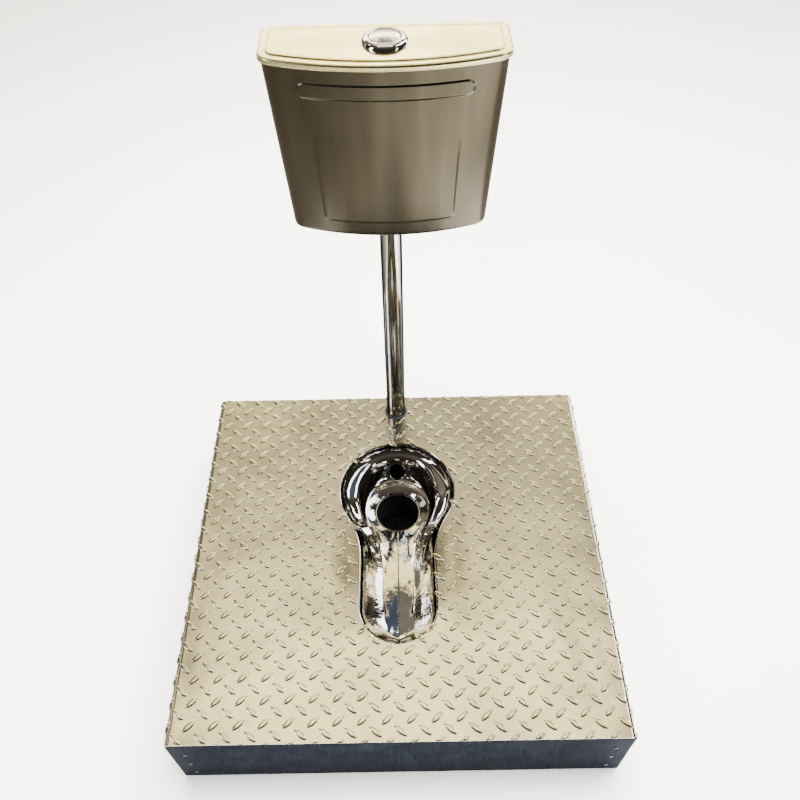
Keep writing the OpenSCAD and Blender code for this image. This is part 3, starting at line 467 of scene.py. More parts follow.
# Under-frame: angle rails, bearers and box legs of mild steel, welded and then dipped in
# zinc. The dip leaves grey spangles about a centimetre across, some duller than others.
galvanised, tree, shader, place = start_finish("hot_dip_galvanised_steel", Metallic=0.85)
spangle = fit(tree, "ShaderNodeTexVoronoi", {"Vector": place, "Scale": 95.0}).outputs["Color"]
spangle = feed(tree, "ShaderNodeSeparateColor", {"Color": spangle})
bloom = grain(tree, place, 0.040, 4.0, 0.6)
dip = feed(tree, "ShaderNodeMix", {"Factor": 0.5, "A": spangle, "B": bloom})
colour = tint(tree, dip, [(0.15, "#7d8388"), (0.5, "#979da1"), (0.85, "#b4b9bc")])
rough = span(tree, spangle, 0.0, 1.0, 0.36, 0.58)
coat(tree, shader, colour, rough, bump(tree, dip, 0.0002, 0.35))
dress(["front_rail", "rear_rail", "side_rails", "bearers", "legs", "floor_brackets"], galvanised)
dress(["hanging_rail"], galvanised)


# Feet, grommet and seals: moulded EPDM rubber, matt black, with a faint skin texture from the
# mould and the grey bloom that such rubber gets.
def two_grain_finish(name, fine, slow, stops, rough, relief, **constants):
    """A finish with a fine grain for its shine and relief, and a slow one for its colour."""
    finish, tree, shader, place = start_finish(name, **constants)
    skin, shade = grain(tree, place, *fine), grain(tree, place, *slow)
    roughness_and_painted_side_shade = span(tree, skin, 0.3, 0.7, *rough)
    coat(tree, shader, tint(tree, shade, stops), roughness_and_painted_side_shade, bump(tree, skin, *relief))
    return finish


rubber = two_grain_finish(
    "moulded_epdm_rubber",
    fine=(0.0018, 4.0, 0.6),
    slow=(0.025,),
    stops=[(0.3, "#151617"), (0.7, "#26282a")],
    rough=(0.55, 0.75),
    relief=(0.0001, 0.4),
    IOR=1.52,
)
dress(["foot_pads", "deck_grommet", "outlet_seal", "elbow_seal", "coupling_seal"], rubber)
dress(["valve_gasket", "fill_gasket", "core_seal"], rubber)


# Pan: two pressings of 1.5 mm stainless sheet, welded down the middle of the trough and
# polished to a mirror. It hangs by its flange under the deck. The press and the polishing
# mops leave ripples, so its reflections have ragged edges.
PAN_SHEET = 0.0015
ROLL = 0.0025
SIDE_RUN, FRONT_RUN = 0.050, 0.038
FLANGE, FLANGE_DROP = 0.018, 0.002
LAND, HOLE = 0.071, 0.0545
SIDE_BOWL, REAR_BOWL = 0.093, 0.113
PAN_DEPTH, FRONT_DEPTH, SHOULDER = 0.100, 0.062, 0.033
INLET_RADIUS, INLET_HEIGHT = 0.01915, 0.132


def ease(low, high, x):
    """A smooth step from nought to one between two values."""
    t = min(1.0, max(0.0, (x - low) / (high - low)))
    return t * t * (3 - 2 * t)


def pan_rim():
    """Right half of the opening, front to back: point, outward direction, angle at the outlet."""
    quarter, rim = math.pi / 2, []

    def turn(y):
        return -quarter + (quarter - NECK_ANGLE) * (y - FRONT_Y) / (JOIN_Y - FRONT_Y)

    def arc(centre, radius, start, end, steps, way=1):
        for a in np.linspace(start, end, steps, False):
            u = np.array((math.cos(a), math.sin(a)))
            p = centre + radius * u
            rim.append((p, way * u, turn(p[1])))

    arc((0, ARC_Y), THROAT, -quarter, 0, 28)
    for y in np.linspace(ARC_Y, NECK_Y, 14, False):
        rim.append(((THROAT, y), (1.0, 0.0), turn(y)))
    arc((NECK_X, NECK_Y), NECK_RADIUS, math.pi, math.pi - NECK_ANGLE, 20, way=-1)
    for a in np.linspace(-NECK_ANGLE, quarter, 57):
        u = np.array((math.cos(a), math.sin(a)))
        rim.append(((0, PAN_CENTRE) + HEAD_RADIUS * u, u, a))
    return rim


def trough_depth(p):
    """The trough's floor falls to the weld on the centre line, and along it to the outlet."""
    run = PAN_CENTRE - LAND - FRONT_Y - SIDE_RUN
    t = min(1.0, max(0.0, (p[1] - FRONT_Y - SIDE_RUN) / run))
    share = 0.45 * t + 0.55 * t**3
    vee = 0.2 * (1 - t * t) + 0.045 * (1 - t) ** 3
    return FRONT_DEPTH * (1 - share) + PAN_DEPTH * share - vee * abs(p[0])


def pan_line(p, n, a):
    """One line of the pan's upper surface, from the flange to the outlet."""
    p, n = np.array(p), np.array(n)
    u, c = np.array([math.cos(a), math.sin(a)]), np.array([0.0, PAN_CENTRE])
    share = max(0.0, math.sin(a)) ** 2
    bowl = SIDE_BOWL * (1 - share) + REAR_BOWL * share
    h = ease(math.radians(-50), math.radians(5), a)
    free = HEAD_RADIUS - bowl - ROLL
    run = FRONT_RUN + (SIDE_RUN - FRONT_RUN) * abs(n[0])
    foot, land = p - run * n, c + LAND * u
    depth = trough_depth(foot)
    fall = PAN_DEPTH - SHOULDER

    def at(q, depth):
        return np.array([q[0], q[1], DECK_TOP - depth])

    def slope(f):
        q = foot * (1 - f) + land * f
        return at(q, trough_depth(q))

    def both(front, head):
        return front * (1 - h) + head * h

    def inward(way):
        return p - way * n

    lip = [at(inward(-FLANGE), FLANGE_DROP)]
    for b in np.radians(np.linspace(0, 81, 10)):
        lip.append(at(inward(ROLL * math.sin(b)), FLANGE_DROP + ROLL * (1 - math.cos(b))))
    upper, lower = inward(ROLL + 0.136 * free), inward(ROLL + 0.383 * free)
    wall = [
        both(at(inward(0.16 * run), 0.42 * depth), at(upper, 0.53 * SHOULDER)),
        both(at(inward(0.56 * run), depth - 0.0143), at(lower, 0.757 * SHOULDER)),
        both(slope(0.0), at(c + (bowl + 0.003) * u, 0.98 * SHOULDER)),
        both(slope(0.2), at(c + (bowl - 0.0015) * u, SHOULDER + 0.1 * fall)),
        both(slope(0.45), at(c + (bowl * 0.72 + LAND * 0.28) * u, SHOULDER + 0.50 * fall)),
        both(slope(0.75), at(c + (bowl * 0.45 + LAND * 0.55) * u, SHOULDER + 0.79 * fall)),
        both(at(land, PAN_DEPTH - 0.003), at(land, PAN_DEPTH - 0.0088)),
        at(c + HOLE * u, PAN_DEPTH),
    ]
    return lip, wall


def fair_curve(points, steps):
    """A smooth line through points: a centripetal spline, whose spacing follows their own."""
    points = [2 * points[0] - points[1], *points, 2 * points[-1] - points[-2]]
    fair = []

    def mix(a, b, ta, tb, t):
        return a * (tb - t) / (tb - ta) + b * (t - ta) / (tb - ta)

    for p0, p1, p2, p3 in zip(points, points[1:], points[2:], points[3:]):
        gaps = [np.linalg.norm(b - a) ** 0.5 for a, b in ((p0, p1), (p1, p2), (p2, p3))]
        t0, t1, t2, t3 = 0.0, *np.cumsum(gaps)
        for i in range(steps):
            t = t1 + (t2 - t1) * i / steps
            a1, a2, a3 = mix(p0, p1, t0, t1, t), mix(p1, p2, t1, t2, t), mix(p2, p3, t2, t3, t)
            b1, b2 = mix(a1, a2, t0, t2, t), mix(a2, a3, t1, t3, t)
            fair.append(mix(b1, b2, t1, t2, t))
    return fair + [points[-2]]


def thicken(piece, sheet):
    """Gives an open skin its sheet thickness, on the inside."""
    modifier = piece.modifiers.new("sheet", "SOLIDIFY")
    modifier.thickness = sheet
    modifier.offset = -1.0
    return set_form(piece)


def cut_holes(piece, cutters):
    """Cuts closed shapes out of a piece and keeps the plain result."""
    for cutter in cutters:
        modifier = piece.modifiers.new("hole", "BOOLEAN")
        modifier.object = cutter
        modifier.solver = "EXACT"
    set_form(piece)
    for cutter in cutters:
        bpy.data.objects.remove(cutter)
    return piece


def rod_cutter(radius, start, end, around=48):
    """A closed rod between two points, to cut a round hole with."""
    start, end = Vector(start), Vector(end)
    turn = (end - start).to_track_quat("Z", "Y")
    turns = np.linspace(0, 2 * math.pi, around, False)
    ring = [Vector((radius * math.cos(a), radius * math.sin(a), 0)) for a in turns]
    rings = [[place + turn @ v for v in ring] for place in (start, end)]
    return stack_rings("cutter", rings, smooth=False)


def press_pan():
    """Lofts the pan over its lines, and gives it its sheet and its inlet."""
    lines = []
    for p, n, a in pan_rim():
        lip, wall = pan_line(p, n, a)
        lines.append(lip[:-1] + fair_curve([lip[-1], *wall], 6))
    lines += [[q * (-1, 1, 1) for q in line] for line in lines[-2:0:-1]]
    count, deep = len(lines), len(lines[0])
    faces = []
    for i in range(count):
        a, b = i * deep, (i + 1) % count * deep
        faces += [(a + j, a + j + 1, b + j + 1, b + j) for j in range(deep - 1)]
    pan = plain_mesh("mirror_pan", [q for line in lines for q in line], faces)
    rear = [(0, y, INLET_HEIGHT) for y in (PAN_CENTRE + LAND, 0.300)]
    return cut_holes(thicken(pan, PAN_SHEET), [rod_cutter(INLET_RADIUS, *rear)])


def blend(tree, share, first, second):
    """A colour mixed from two, by the share of the second."""
    sockets = {"Factor": share, "A": first, "B": second}
    return fit(tree, "ShaderNodeMix", sockets, data_type="RGBA").outputs[2]


dim_edge = {"Metallic": 1.0, "Specular_Tint": (0.04, 0.04, 0.04, 1.0)}
mirror_steel, tree, shader, place = start_finish("mirror_polished_stainless", **dim_edge)
mop_marks = grain(tree, place, 0.0060, stretch=(2.5, 1, 1))
press_marks = grain(tree, place, 0.035, 1.5, stretch=(1, 1.3, 1))
film = grain(tree, place, 0.050, 3.0, 0.6)
point = parts(tree, place)
off_weld = math_node(tree, "ABSOLUTE", point["X"])
weld = span(tree, off_weld, 0.0005, 0.0014, 1.0, 0.0)
weld = math_node(tree, "MULTIPLY", weld, span(tree, point["Y"], 0.070, 0.086, 1.0, 0.0))
clean = tint(tree, film, [(0.35, "#c6c4be"), (0.65, "#dcdad4")])
colour = blend(tree, weld, clean, linear("#4a4540"))
rough = span(tree, film, 0.35, 0.7, 0.035, 0.075)
rough = math_node(tree, "ADD", math_node(tree, "MULTIPLY", weld, 0.30), rough)
relief = bump(tree, mop_marks, 0.0004, 0.6, bump(tree, press_marks, 0.0022, 0.5))
coat(tree, shader, colour, rough, bump(tree, weld, -0.0006, 0.8, relief))
pan = press_pan()
pan.data.materials.clear()
pan.data.materials.append(mirror_steel)
pan.data.shade_smooth()
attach(pan, "toilet")
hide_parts("squat_pan")


# Outlet ring: turned from 2 mm stainless plate and welded under the pan's hole. Six
# millimetres of it show inside the hole, as a thin bright circle round the drain.
ring_steel, tree, shader, place = start_finish("turned_stainless_ring", Metallic=1.0)
off_axis = {0: place, 1: (1, 1, 0), 2: (0, -PAN_CENTRE, 0)}
off_axis = feed(tree, "ShaderNodeVectorMath", off_axis, operation="MULTIPLY_ADD")
radius = fit(tree, "ShaderNodeVectorMath", {0: off_axis}, operation="LENGTH").outputs["Value"]
tool_marks = math_node(tree, "SINE", math_node(tree, "MULTIPLY", radius, 2 * math.pi / 0.0006))
film = grain(tree, place, 0.020, 3.0, 0.6)
colour = tint(tree, film, [(0.35, "#cfcdc6"), (0.65, "#e3e1da")])
rough = span(tree, film, 0.35, 0.7, 0.16, 0.26)
coat(tree, shader, colour, rough, bump(tree, tool_marks, 0.00001, 0.4))
dress(["outlet_ring"], ring_steel)


# Outlet: a black polypropylene connector under the pan, for a 110 mm soil pipe, and the elbow
# that brings the flush to the bowl. The moulding leaves them dark and half matt.
black_plastic = two_grain_finish(
    "moulded_black_polypropylene",
    fine=(0.0025, 4.0, 0.6),
    slow=(0.030, 2.0, 0.5, (1, 1, 2)),
    stops=[(0.3, "#0b0c0e"), (0.7, "#16181b")],
    rough=(0.42, 0.60),
    relief=(0.00012, 0.4),
    IOR=1.49,
)
dress(["outlet_connector", "flush_elbow"], black_plastic)


# Fixings: studs, nuts and clips of steel with bright zinc plate, which has a faint blue and
# yellow bloom and a slightly grainy shine.
zinc_plate = two_grain_finish(
    "bright_zinc_plated_steel",
    fine=(0.0008,),
    slow=(0.006, 3.0, 0.6),
    stops=[(0.3, "#a9adb4"), (0.5, "#c2c3c2"), (0.75, "#cfc9ac")],
    rough=(0.24, 0.40),
    relief=(0.00003, 0.4),
    Metallic=1.0,
)
dress(["pan_clips", "clip_studs", "clip_nuts", "outlet_studs", "outlet_nuts"], zinc_plate)
dress(["full_push_rod", "half_push_rod", "float_pin"], zinc_plate)


# Flush pipe: polished stainless tube, 45 mm across, from the cistern's coupling down through
# the deck's grommet to the elbow. The tube is swept along its centre line, wall and bore. Its
# colour is painted dark towards its left and right sides, a painted shade that puts a dark line
# down each edge as seen from the front.
TUBE_RADIUS, TUBE_WALL = 0.0225, 0.0012
dim_edge = {"Metallic": 1.0, "Specular_Tint": (0.35, 0.35, 0.36, 1.0)}
tube_steel, tree, shader, place = start_finish("polished_stainless_tube", **dim_edge)
draw_lines = grain(tree, place, 0.0012, stretch=(1, 1, 60))
film = grain(tree, place, 0.035, 3.0, 0.6, stretch=(1, 1, 2))
colour = tint(tree, film, [(0.35, "#b9bbbc"), (0.65, "#d3d4d3")])
# Painted shade: towards its left and right sides the tube's colour goes dark grey.
across = math_node(tree, "ABSOLUTE", parts(tree, place)["X"])
roughness_and_painted_side_shade = span(tree, across, 0.0120, 0.0185)
colour = blend(tree, roughness_and_painted_side_shade, colour, linear("#3a3b3d"))
rough = span(tree, film, 0.35, 0.7, 0.06, 0.13)
coat(tree, shader, colour, rough, bump(tree, draw_lines, 0.00003, 0.35))
dress(["inlet_spigot", "coupling_nut"], tube_steel)

low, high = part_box("flush_pipe")
sizes = [
    ("Foot", "Vector", (*PIPE_PLACE, low[2])),
    ("Head", "Vector", (*PIPE_PLACE, high[2])),
    ("Outer radius", "Float", TUBE_RADIUS),
    ("Wall", "Float", TUBE_WALL),
]
tree, size = start_tree("flush_tube", sizes)
centre = feed(tree, "GeometryNodeCurvePrimitiveLine", {"Start": size["Foot"], "End": size["Head"]})
centre = feed(tree, "GeometryNodeResampleCurve", {"Curve": centre, "Count": 60})
bore = math_node(tree, "SUBTRACT", size["Outer radius"], size["Wall"])
skins = fit(tree, "GeometryNodeJoinGeometry")
for radius in (size["Outer radius"], bore):
    rim = feed(tree, "GeometryNodeCurvePrimitiveCircle", {"Resolution": 96, "Radius": radius})
    skin = feed(tree, "GeometryNodeCurveToMesh", {"Curve": centre, "Profile Curve": rim})
    if radius is bore:
        skin = feed(tree, "GeometryNodeFlipFaces", {"Mesh": skin})
    tree.links.new(skin, skins.inputs["Geometry"])
close_tree(tree, skins.outputs["Geometry"], tube_steel)
pipe = bake_tree("flush_tube", tree, {})


def close_tube_ends(piece, levels):
    """Joins the wall and the bore of a tube with a flat ring at each end."""
    shape = bmesh.new()
    shape.from_mesh(piece.data)
    for level in levels:
        loops = [e for e in shape.edges if e.is_boundary and abs(e.verts[0].co.z - level) < 1e-5]
        bmesh.ops.bridge_loops(shape, edges=loops)
    bmesh.ops.recalc_face_normals(shape, faces=shape.faces[:])
    for edge in shape.edges:
        if len(edge.link_faces) == 2 and edge.calc_face_angle(0.0) > 0.6:
            edge.smooth = False
    shape.to_mesh(piece.data)
    shape.free()


close_tube_ends(pipe, (low[2], high[2]))
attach(pipe, "toilet")
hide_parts("flush_pipe")


# Cistern: a stainless shell with a bowed front, drawn in towards its foot. A band and a
# panel are pressed forward in the front. The sheet was brushed level, so what it mirrors is
# smeared into upright bands. Its colour is painted a dark olive grey, a painted shade that keeps
# it darker than the deck that it looks down on.
CISTERN_FOOT, CISTERN_HEIGHT = 0.820, 0.340
WALL_PLANE = 0.420
BOW = 0.035
CORNER, BACK_CORNER = 0.026, 0.012
EMBOSS = 0.0025
SHELL_SHEET = 0.0012
FOOT_HALF, TOP_HALF = 0.181, 0.200
FOOT_DEPTH, TOP_DEPTH = 0.123, 0.136
BAND_HALF, BAND_ROUND, BAND_LEVEL = 0.143, 0.0125, 0.293
PANEL_HALF, PANEL_ROUND, PANEL_FOOT = 0.117, 0.006, 0.035
COUPLING_HOLE, INLET_HOLE, BOLT_HOLE = 0.0293, 0.0113, 0.0045
INLET_PLACE, BOLT_PLACE = (-0.150, 0.382), (0.120, 1.100)
CUT_FROM, CUT_TO = 0.815, 0.825


def cistern_plan(half_width, depth, grow, back, columns):
    """Outline of the cistern from above, anticlockwise from the middle of the front."""
    hw = half_width + grow
    r = (half_width**2 + BOW**2) / (2 * BOW) + grow
    by = r - depth - grow
    rc, rb = CORNER + grow, max(0.001, BACK_CORNER + grow)
    cx = hw - rc
    cy = by - math.sqrt((r - rc) ** 2 - cx * cx)
    beta = math.asin(cx / (r - rc))
    front, corner, side, hind, rear = columns
    plan = []

    def sweep(centre, radius, start, end, steps):
        for a in np.linspace(start, end, steps, False):
            plan.append((centre[0] + radius * math.cos(a), centre[1] + radius * math.sin(a)))

    def run(start, end, steps):
        plan.extend(np.linspace(start, end, steps, False))

    quarter = math.pi / 2
    sweep((0, by), r, -quarter, -quarter + beta, front)
    sweep((cx, cy), rc, -quarter + beta, 0, corner)
    run((hw, cy), (hw, back - rb), side)
    sweep((hw - rb, back - rb), rb, 0, quarter, hind)
    run((hw - rb, back), (0, back), rear // 2)
    plan += [(0, back)] + [(-x, y) for x, y in plan[:0:-1]]
    return np.array(plan) + (0.0, WALL_PLANE)


def pressed_forward(x, z):
    """How far the front is pressed forward: the band near the top and the panel below it."""

    def edge(gap, width=0.0040):
        return ease(-width / 2, width / 2, gap)

    height = z - CISTERN_FOOT
    dx, dz = abs(x) - BAND_HALF + BAND_ROUND, abs(height - BAND_LEVEL)
    inside = BAND_ROUND - (math.hypot(dx, dz) if dx > 0 else dz)
    band = edge(inside, 0.0014 if height > BAND_LEVEL else 0.0040)
    lean = (TOP_HALF - FOOT_HALF) / CISTERN_HEIGHT * PANEL_HALF / FOOT_HALF
    level = height - PANEL_FOOT
    wide = PANEL_HALF + lean * level
    qx, qz = abs(x) - wide + PANEL_ROUND, PANEL_ROUND - level
    gap = PANEL_ROUND - (math.hypot(qx, qz) if min(qx, qz) > 0 else max(qx, qz))
    fade = min(1.0, max(0.0, 1 - level / 0.175)) ** 0.6
    return EMBOSS * max(band, edge(gap) * fade if level < 0.18 else 0.0)


def shell_levels():
    """Heights of the shell's rings above its rounded foot, closer together at the pressings."""
    marks = [(0.008, 0.030, 6), (0.030, 0.040, 9), (0.040, 0.275, 30), (0.275, 0.287, 10)]
    marks += [(0.287, 0.299, 5), (0.299, 0.311, 10), (0.311, 0.340, 6)]
    return [a + (b - a) * i / n for a, b, n in marks for i in range(n)] + [0.340]


def outward(ring):
    """Unit directions out of a closed outline that runs anticlockwise."""
    along = np.roll(ring, -1, 0) - np.roll(ring, 1, 0)
    out = np.stack([along[:, 1], -along[:, 0]], 1)
    return out / np.linalg.norm(out, axis=1)[:, None]


def draw_shell():
    """The shell's outer skin: its floor, its rounded foot and its walls, ring by ring."""
    columns = (96, 10, 8, 6, 20)
    rings = []

    def ring(height, grow, back, pressed):
        t = height / CISTERN_HEIGHT
        half = FOOT_HALF + (TOP_HALF - FOOT_HALF) * t
        depth = FOOT_DEPTH + (TOP_DEPTH - FOOT_DEPTH) * t
        plan = cistern_plan(half, depth, grow, back, columns)
        if pressed:
            out = outward(plan)
            z = CISTERN_FOOT + height
            lift = [pressed_forward(x, z) if y < WALL_PLANE - 0.070 else 0.0 for x, y in plan]
            plan = plan + out * np.array(lift)[:, None]
        rings.append([(x, y, CISTERN_FOOT + height) for x, y in plan])

    for share in (0.25, 0.5, 0.75, 0.93):
        ring(0.0, -0.008 - 0.110 * (1 - share), -0.055 * (1 - share), False)
    for i in range(8):
        a = math.pi / 2 * i / 8
        ring(0.008 * (1 - math.cos(a)), -0.008 * (1 - math.sin(a)), 0.0, False)
    for height in shell_levels():
        ring(height, 0.0, 0.0, True)
    count = len(rings[0])
    faces = [range(count - 1, -1, -1), *wall_faces(count, len(rings))]
    return plain_mesh("brushed_cistern", [v for points in rings for v in points], faces)


def brushed_finish(name, colours, rough):
    """Stainless sheet brushed with a belt: fine level scratches, and a slow change of shade."""
    finish, tree, shader, place = start_finish(name, Metallic=1.0, Anisotropic=0.75)
    belt = grain(tree, place, 0.0007, 3.0, 0.6, stretch=(160, 20, 1))
    drift = grain(tree, place, 0.045, stretch=(1, 1, 9))
    mixed = feed(tree, "ShaderNodeMix", {"Factor": 0.03, "A": drift, "B": belt})
    tangent = feed(tree, "ShaderNodeTangent", direction_type="RADIAL", axis="Z")
    tree.links.new(tangent, shader.inputs["Tangent"])
    relief = bump(tree, belt, 0.00001, 0.12, bump(tree, drift, 0.0016, 0.35))
    coat(tree, shader, tint(tree, mixed, colours), span(tree, belt, 0.3, 0.7, *rough), relief)
    return finish


# Painted shade: the shell's colours are a dark olive grey, far darker than bare stainless.
shell_steel = brushed_finish(
    "belt_brushed_shell", [(0.30, "#4d4940"), (0.50, "#555147"), (0.70, "#5e5a50")], (0.24, 0.26)
)
shell = thicken(draw_shell(), SHELL_SHEET)
hole_cutters = [
    rod_cutter(radius, (x, y, CUT_FROM), (x, y, CUT_TO))
    for radius, (x, y) in ((COUPLING_HOLE, PIPE_PLACE), (INLET_HOLE, INLET_PLACE))
]
for x in (-BOLT_PLACE[0], BOLT_PLACE[0]):
    back = [(x, y, BOLT_PLACE[1]) for y in (WALL_PLANE - 0.006, WALL_PLANE + 0.004)]
    hole_cutters.append(rod_cutter(BOLT_HOLE, *back))
shell = cut_holes(shell, hole_cutters)
shell.data.materials.clear()
shell.data.materials.append(shell_steel)
shell.data.shade_smooth()
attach(shell, "toilet")
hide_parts("cistern_shell")


# Valves: the flush valve's base, cage and head, its nuts, the fill valve and the float are
# moulded in white acetal and ABS, a little yellow, with the soft shine of the mould.
for_valves = {"fine": (0.0020, 3.0), "slow": (0.040,), "relief": (0.00008, 0.3)}
white_plastic = two_grain_finish(
    "moulded_white_acetal",
    stops=[(0.3, "#dddcd4"), (0.7, "#efeee8")],
    rough=(0.28, 0.42),
    IOR=1.48,
    **for_valves,
)
dress(["valve_base", "valve_backnut", "valve_cage", "ring_nut"], white_plastic)
dress(["fill_valve", "float"], white_plastic)
blue_plastic = two_grain_finish(
    "moulded_blue_abs",
    stops=[(0.3, "#27518c"), (0.7, "#356aab")],
    rough=(0.30, 0.44),
    IOR=1.52,
    **for_valves,
)
dress(["valve_head", "valve_core"], blue_plastic)

brass, tree, shader, place = start_finish("turned_brass", Metallic=1.0)
lathe = grain(tree, place, 0.0006, 3.0)
tarnish = grain(tree, place, 0.012, 3.0, 0.6)
colour = tint(tree, tarnish, [(0.3, "#9c7a3c"), (0.7, "#c9a55c")])
rough = span(tree, tarnish, 0.3, 0.7, 0.40, 0.22)
coat(tree, shader, colour, rough, bump(tree, lathe, 0.00003, 0.4))
dress(["fill_nut", "float_arm"], brass)


# Lid: stainless sheet pressed over the shell's top, with a rolled edge, and a raised field
# inside a bead. It is brushed like the shell, but its colour is painted a bright champagne, a
# painted highlight for the light that it faces.
LID_TOP, PANEL_TOP = 1.1615, 1.1633
PANEL_UNDER = 1.1603
BUTTON_PLACE, BUTTON_HOLE = (0.0, 0.357), 0.0303
FIELD = -0.0122


def press_lid():
    """The lid's skin as one closed loop of rings: edge, bead, field, hole and underside.

    The edge and the bead are given in tenths of a millimetre, out from the shell and up.
    """
    columns = (72, 14, 8, 8, 24)
    edge = [(28, -100), (36, -101), (40, -96), (40, -80), (36, -72), (40, -64), (40, -40)]
    bead = [(-80, 0), (-92, -3), (-100, -1), (-106, 8), (-114, 16), (-122, 18)]
    profile = [(out / 10000, LID_TOP + up / 10000) for out, up in edge]
    for i in range(1, 7):
        a = math.pi / 2 * i / 6
        profile.append((0.004 * math.cos(a), LID_TOP - 0.004 + 0.004 * math.sin(a)))
    profile += [(out / 10000, LID_TOP + up / 10000) for out, up in bead]
    under = [(0.0028, PANEL_UNDER), (-0.0120, PANEL_UNDER)]

    def ring(grow, level):
        plan = cistern_plan(TOP_HALF, TOP_DEPTH, grow, grow, columns)
        return [(x, y, level) for x, y in plan]

    def field(level, shares):
        edge, middle = np.array(ring(FIELD, level)), np.array((*BUTTON_PLACE, level))
        away = edge - middle
        hole = middle + away / np.linalg.norm(away, axis=1)[:, None] * BUTTON_HOLE
        return [edge * (1 - s) + hole * s for s in shares]

    shares = [0.1, 0.3, 0.5, 0.7, 0.9, 1.0]
    rings = [ring(*p) for p in profile] + field(PANEL_TOP, shares)
    rings += field(PANEL_UNDER, shares[::-1]) + [ring(*p) for p in under[::-1]]
    faces = wall_faces(len(rings[0]), len(rings), closed=True)
    lid = plain_mesh("brushed_lid", [v for r in rings for v in r], faces)
    for edge in lid.data.edges:
        a, b = (lid.data.vertices[v].co for v in edge.vertices)
        off = [math.hypot(c.x, c.y - BUTTON_PLACE[1]) - BUTTON_HOLE for c in (a, b)]
        if max(map(abs, off)) < 0.0001 and abs(a.z - b.z) < 1e-6:
            edge.use_edge_sharp = True
    return lid


# Painted highlight: the lid's colours are a bright warm cream, for the light that it faces.
lid_steel = brushed_finish(
    "belt_brushed_lid", [(0.30, "#e6dba4"), (0.50, "#eee4b0"), (0.70, "#f6efc2")], (0.20, 0.26)
)
lid = press_lid()
lid.data.materials.append(lid_steel)
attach(lid, "lid")
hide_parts("cistern_lid")


# Button: a domed ring and two half buttons that part along an S. They are ABS with a chrome
# plate, which mirrors sharply and looks black where it faces away from the light.
chrome, tree, shader, place = start_finish("chrome_plated_abs", Metallic=1.0)
film = grain(tree, place, 0.010, 3.0, 0.6)
colour = tint(tree, film, [(0.35, "#cfd1d4"), (0.65, "#e4e5e6")])
rough = span(tree, film, 0.35, 0.7, 0.03, 0.08)
coat(tree, shader, colour, rough, bump(tree, film, 0.0002, 0.25))
dress(["button_ring", "full_flush_button", "half_flush_button"], chrome)


# Return springs: one under each half button, six turns of 1.4 mm spring steel round its push
# rod. They shorten by 6 mm as the button goes down.
WIRE_RADIUS = 0.0007
spring_steel, tree, shader, place = start_finish("drawn_spring_steel", Metallic=1.0)
scale_marks = grain(tree, place, 0.0010, 3.0)
colour = tint(tree, scale_marks, [(0.3, "#84888c"), (0.7, "#b2b5b8")])
coat(tree, shader, colour, span(tree, scale_marks, 0.3, 0.7, 0.26, 0.40))

sizes = [
    ("Foot", "Vector", (0.0, 0.0, 0.0)),
    ("Height", "Float", 0.02),
    ("Radius", "Float", 0.005),
    ("Wire", "Float", WIRE_RADIUS),
    ("Turns", "Float", 6.0),
]
tree, size = start_tree("wound_spring", sizes)
coil = {"Resolution": 28, "Rotations": size["Turns"], "Start Radius": size["Radius"]}
coil |= {"End Radius": size["Radius"], "Height": size["Height"]}
coil = feed(tree, "GeometryNodeCurveSpiral", coil)
wire = feed(tree, "GeometryNodeCurvePrimitiveCircle", {"Resolution": 10, "Radius": size["Wire"]})
coil = {"Curve": coil, "Profile Curve": wire, "Fill Caps": True}
coil = feed(tree, "GeometryNodeCurveToMesh", coil)
coil = feed(tree, "GeometryNodeTransform", {"Geometry": coil, "Translation": size["Foot"]})
close_tree(tree, coil, spring_steel)
for half in ("full", "half"):
    low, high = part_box(half + "_spring")
    middle, length = (low + high) / 2, high[2] - low[2]
    foot = (middle[0], middle[1], low[2])
    values = {"Foot": (*foot[:2], low[2] + WIRE_RADIUS), "Height": length - 2 * WIRE_RADIUS}
    values["Radius"] = (high[0] - low[0]) / 2 - WIRE_RADIUS
    spring = bake_tree(half + "_wound_spring", tree, values)
    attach(spring, "lid")
    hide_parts(half + "_spring")
    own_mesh(spring)


# Studio: a pale floor, with a near-black disc painted in as the shade inside the waste socket's
# mouth, a broad soft light overhead and two narrow windows. The polished steel shows a bright,
# warm wall behind the toilet and a dim room behind the camera, and dark cards on the floor that
# nothing but a reflection sees.
SOCKET_RADIUS, SOCKET_LEVEL, CARD_LEVEL = 0.100, 0.0006, 0.0015


def mottled_paint(name, size, low, high, rough=0.9):
    """A matt paint with a faint, slow mottle."""
    paint, tree, shader, place = start_finish(name, Roughness=rough)
    shade = tint(tree, grain(tree, place, size), [(0.3, low), (0.7, high)])
    coat(tree, shader, shade, None)
    return paint


def flat_sheet(name, near_left, far_right, level, paint):
    """A level sheet between two corners."""
    (left, near), (right, far) = near_left, far_right
    corners = [(left, near, level), (right, near, level), (right, far, level), (left, far, level)]
    sheet = plain_mesh(name, corners, [(0, 1, 2, 3)], smooth=False)
    sheet.data.materials.append(paint)
    return sheet


floor_paint = mottled_paint("pale_floor", 0.50, "#fafaf8", "#fdfdfc", 0.85)
floor = flat_sheet("floor", (-9, -6), (9, 12), 0.0, floor_paint)
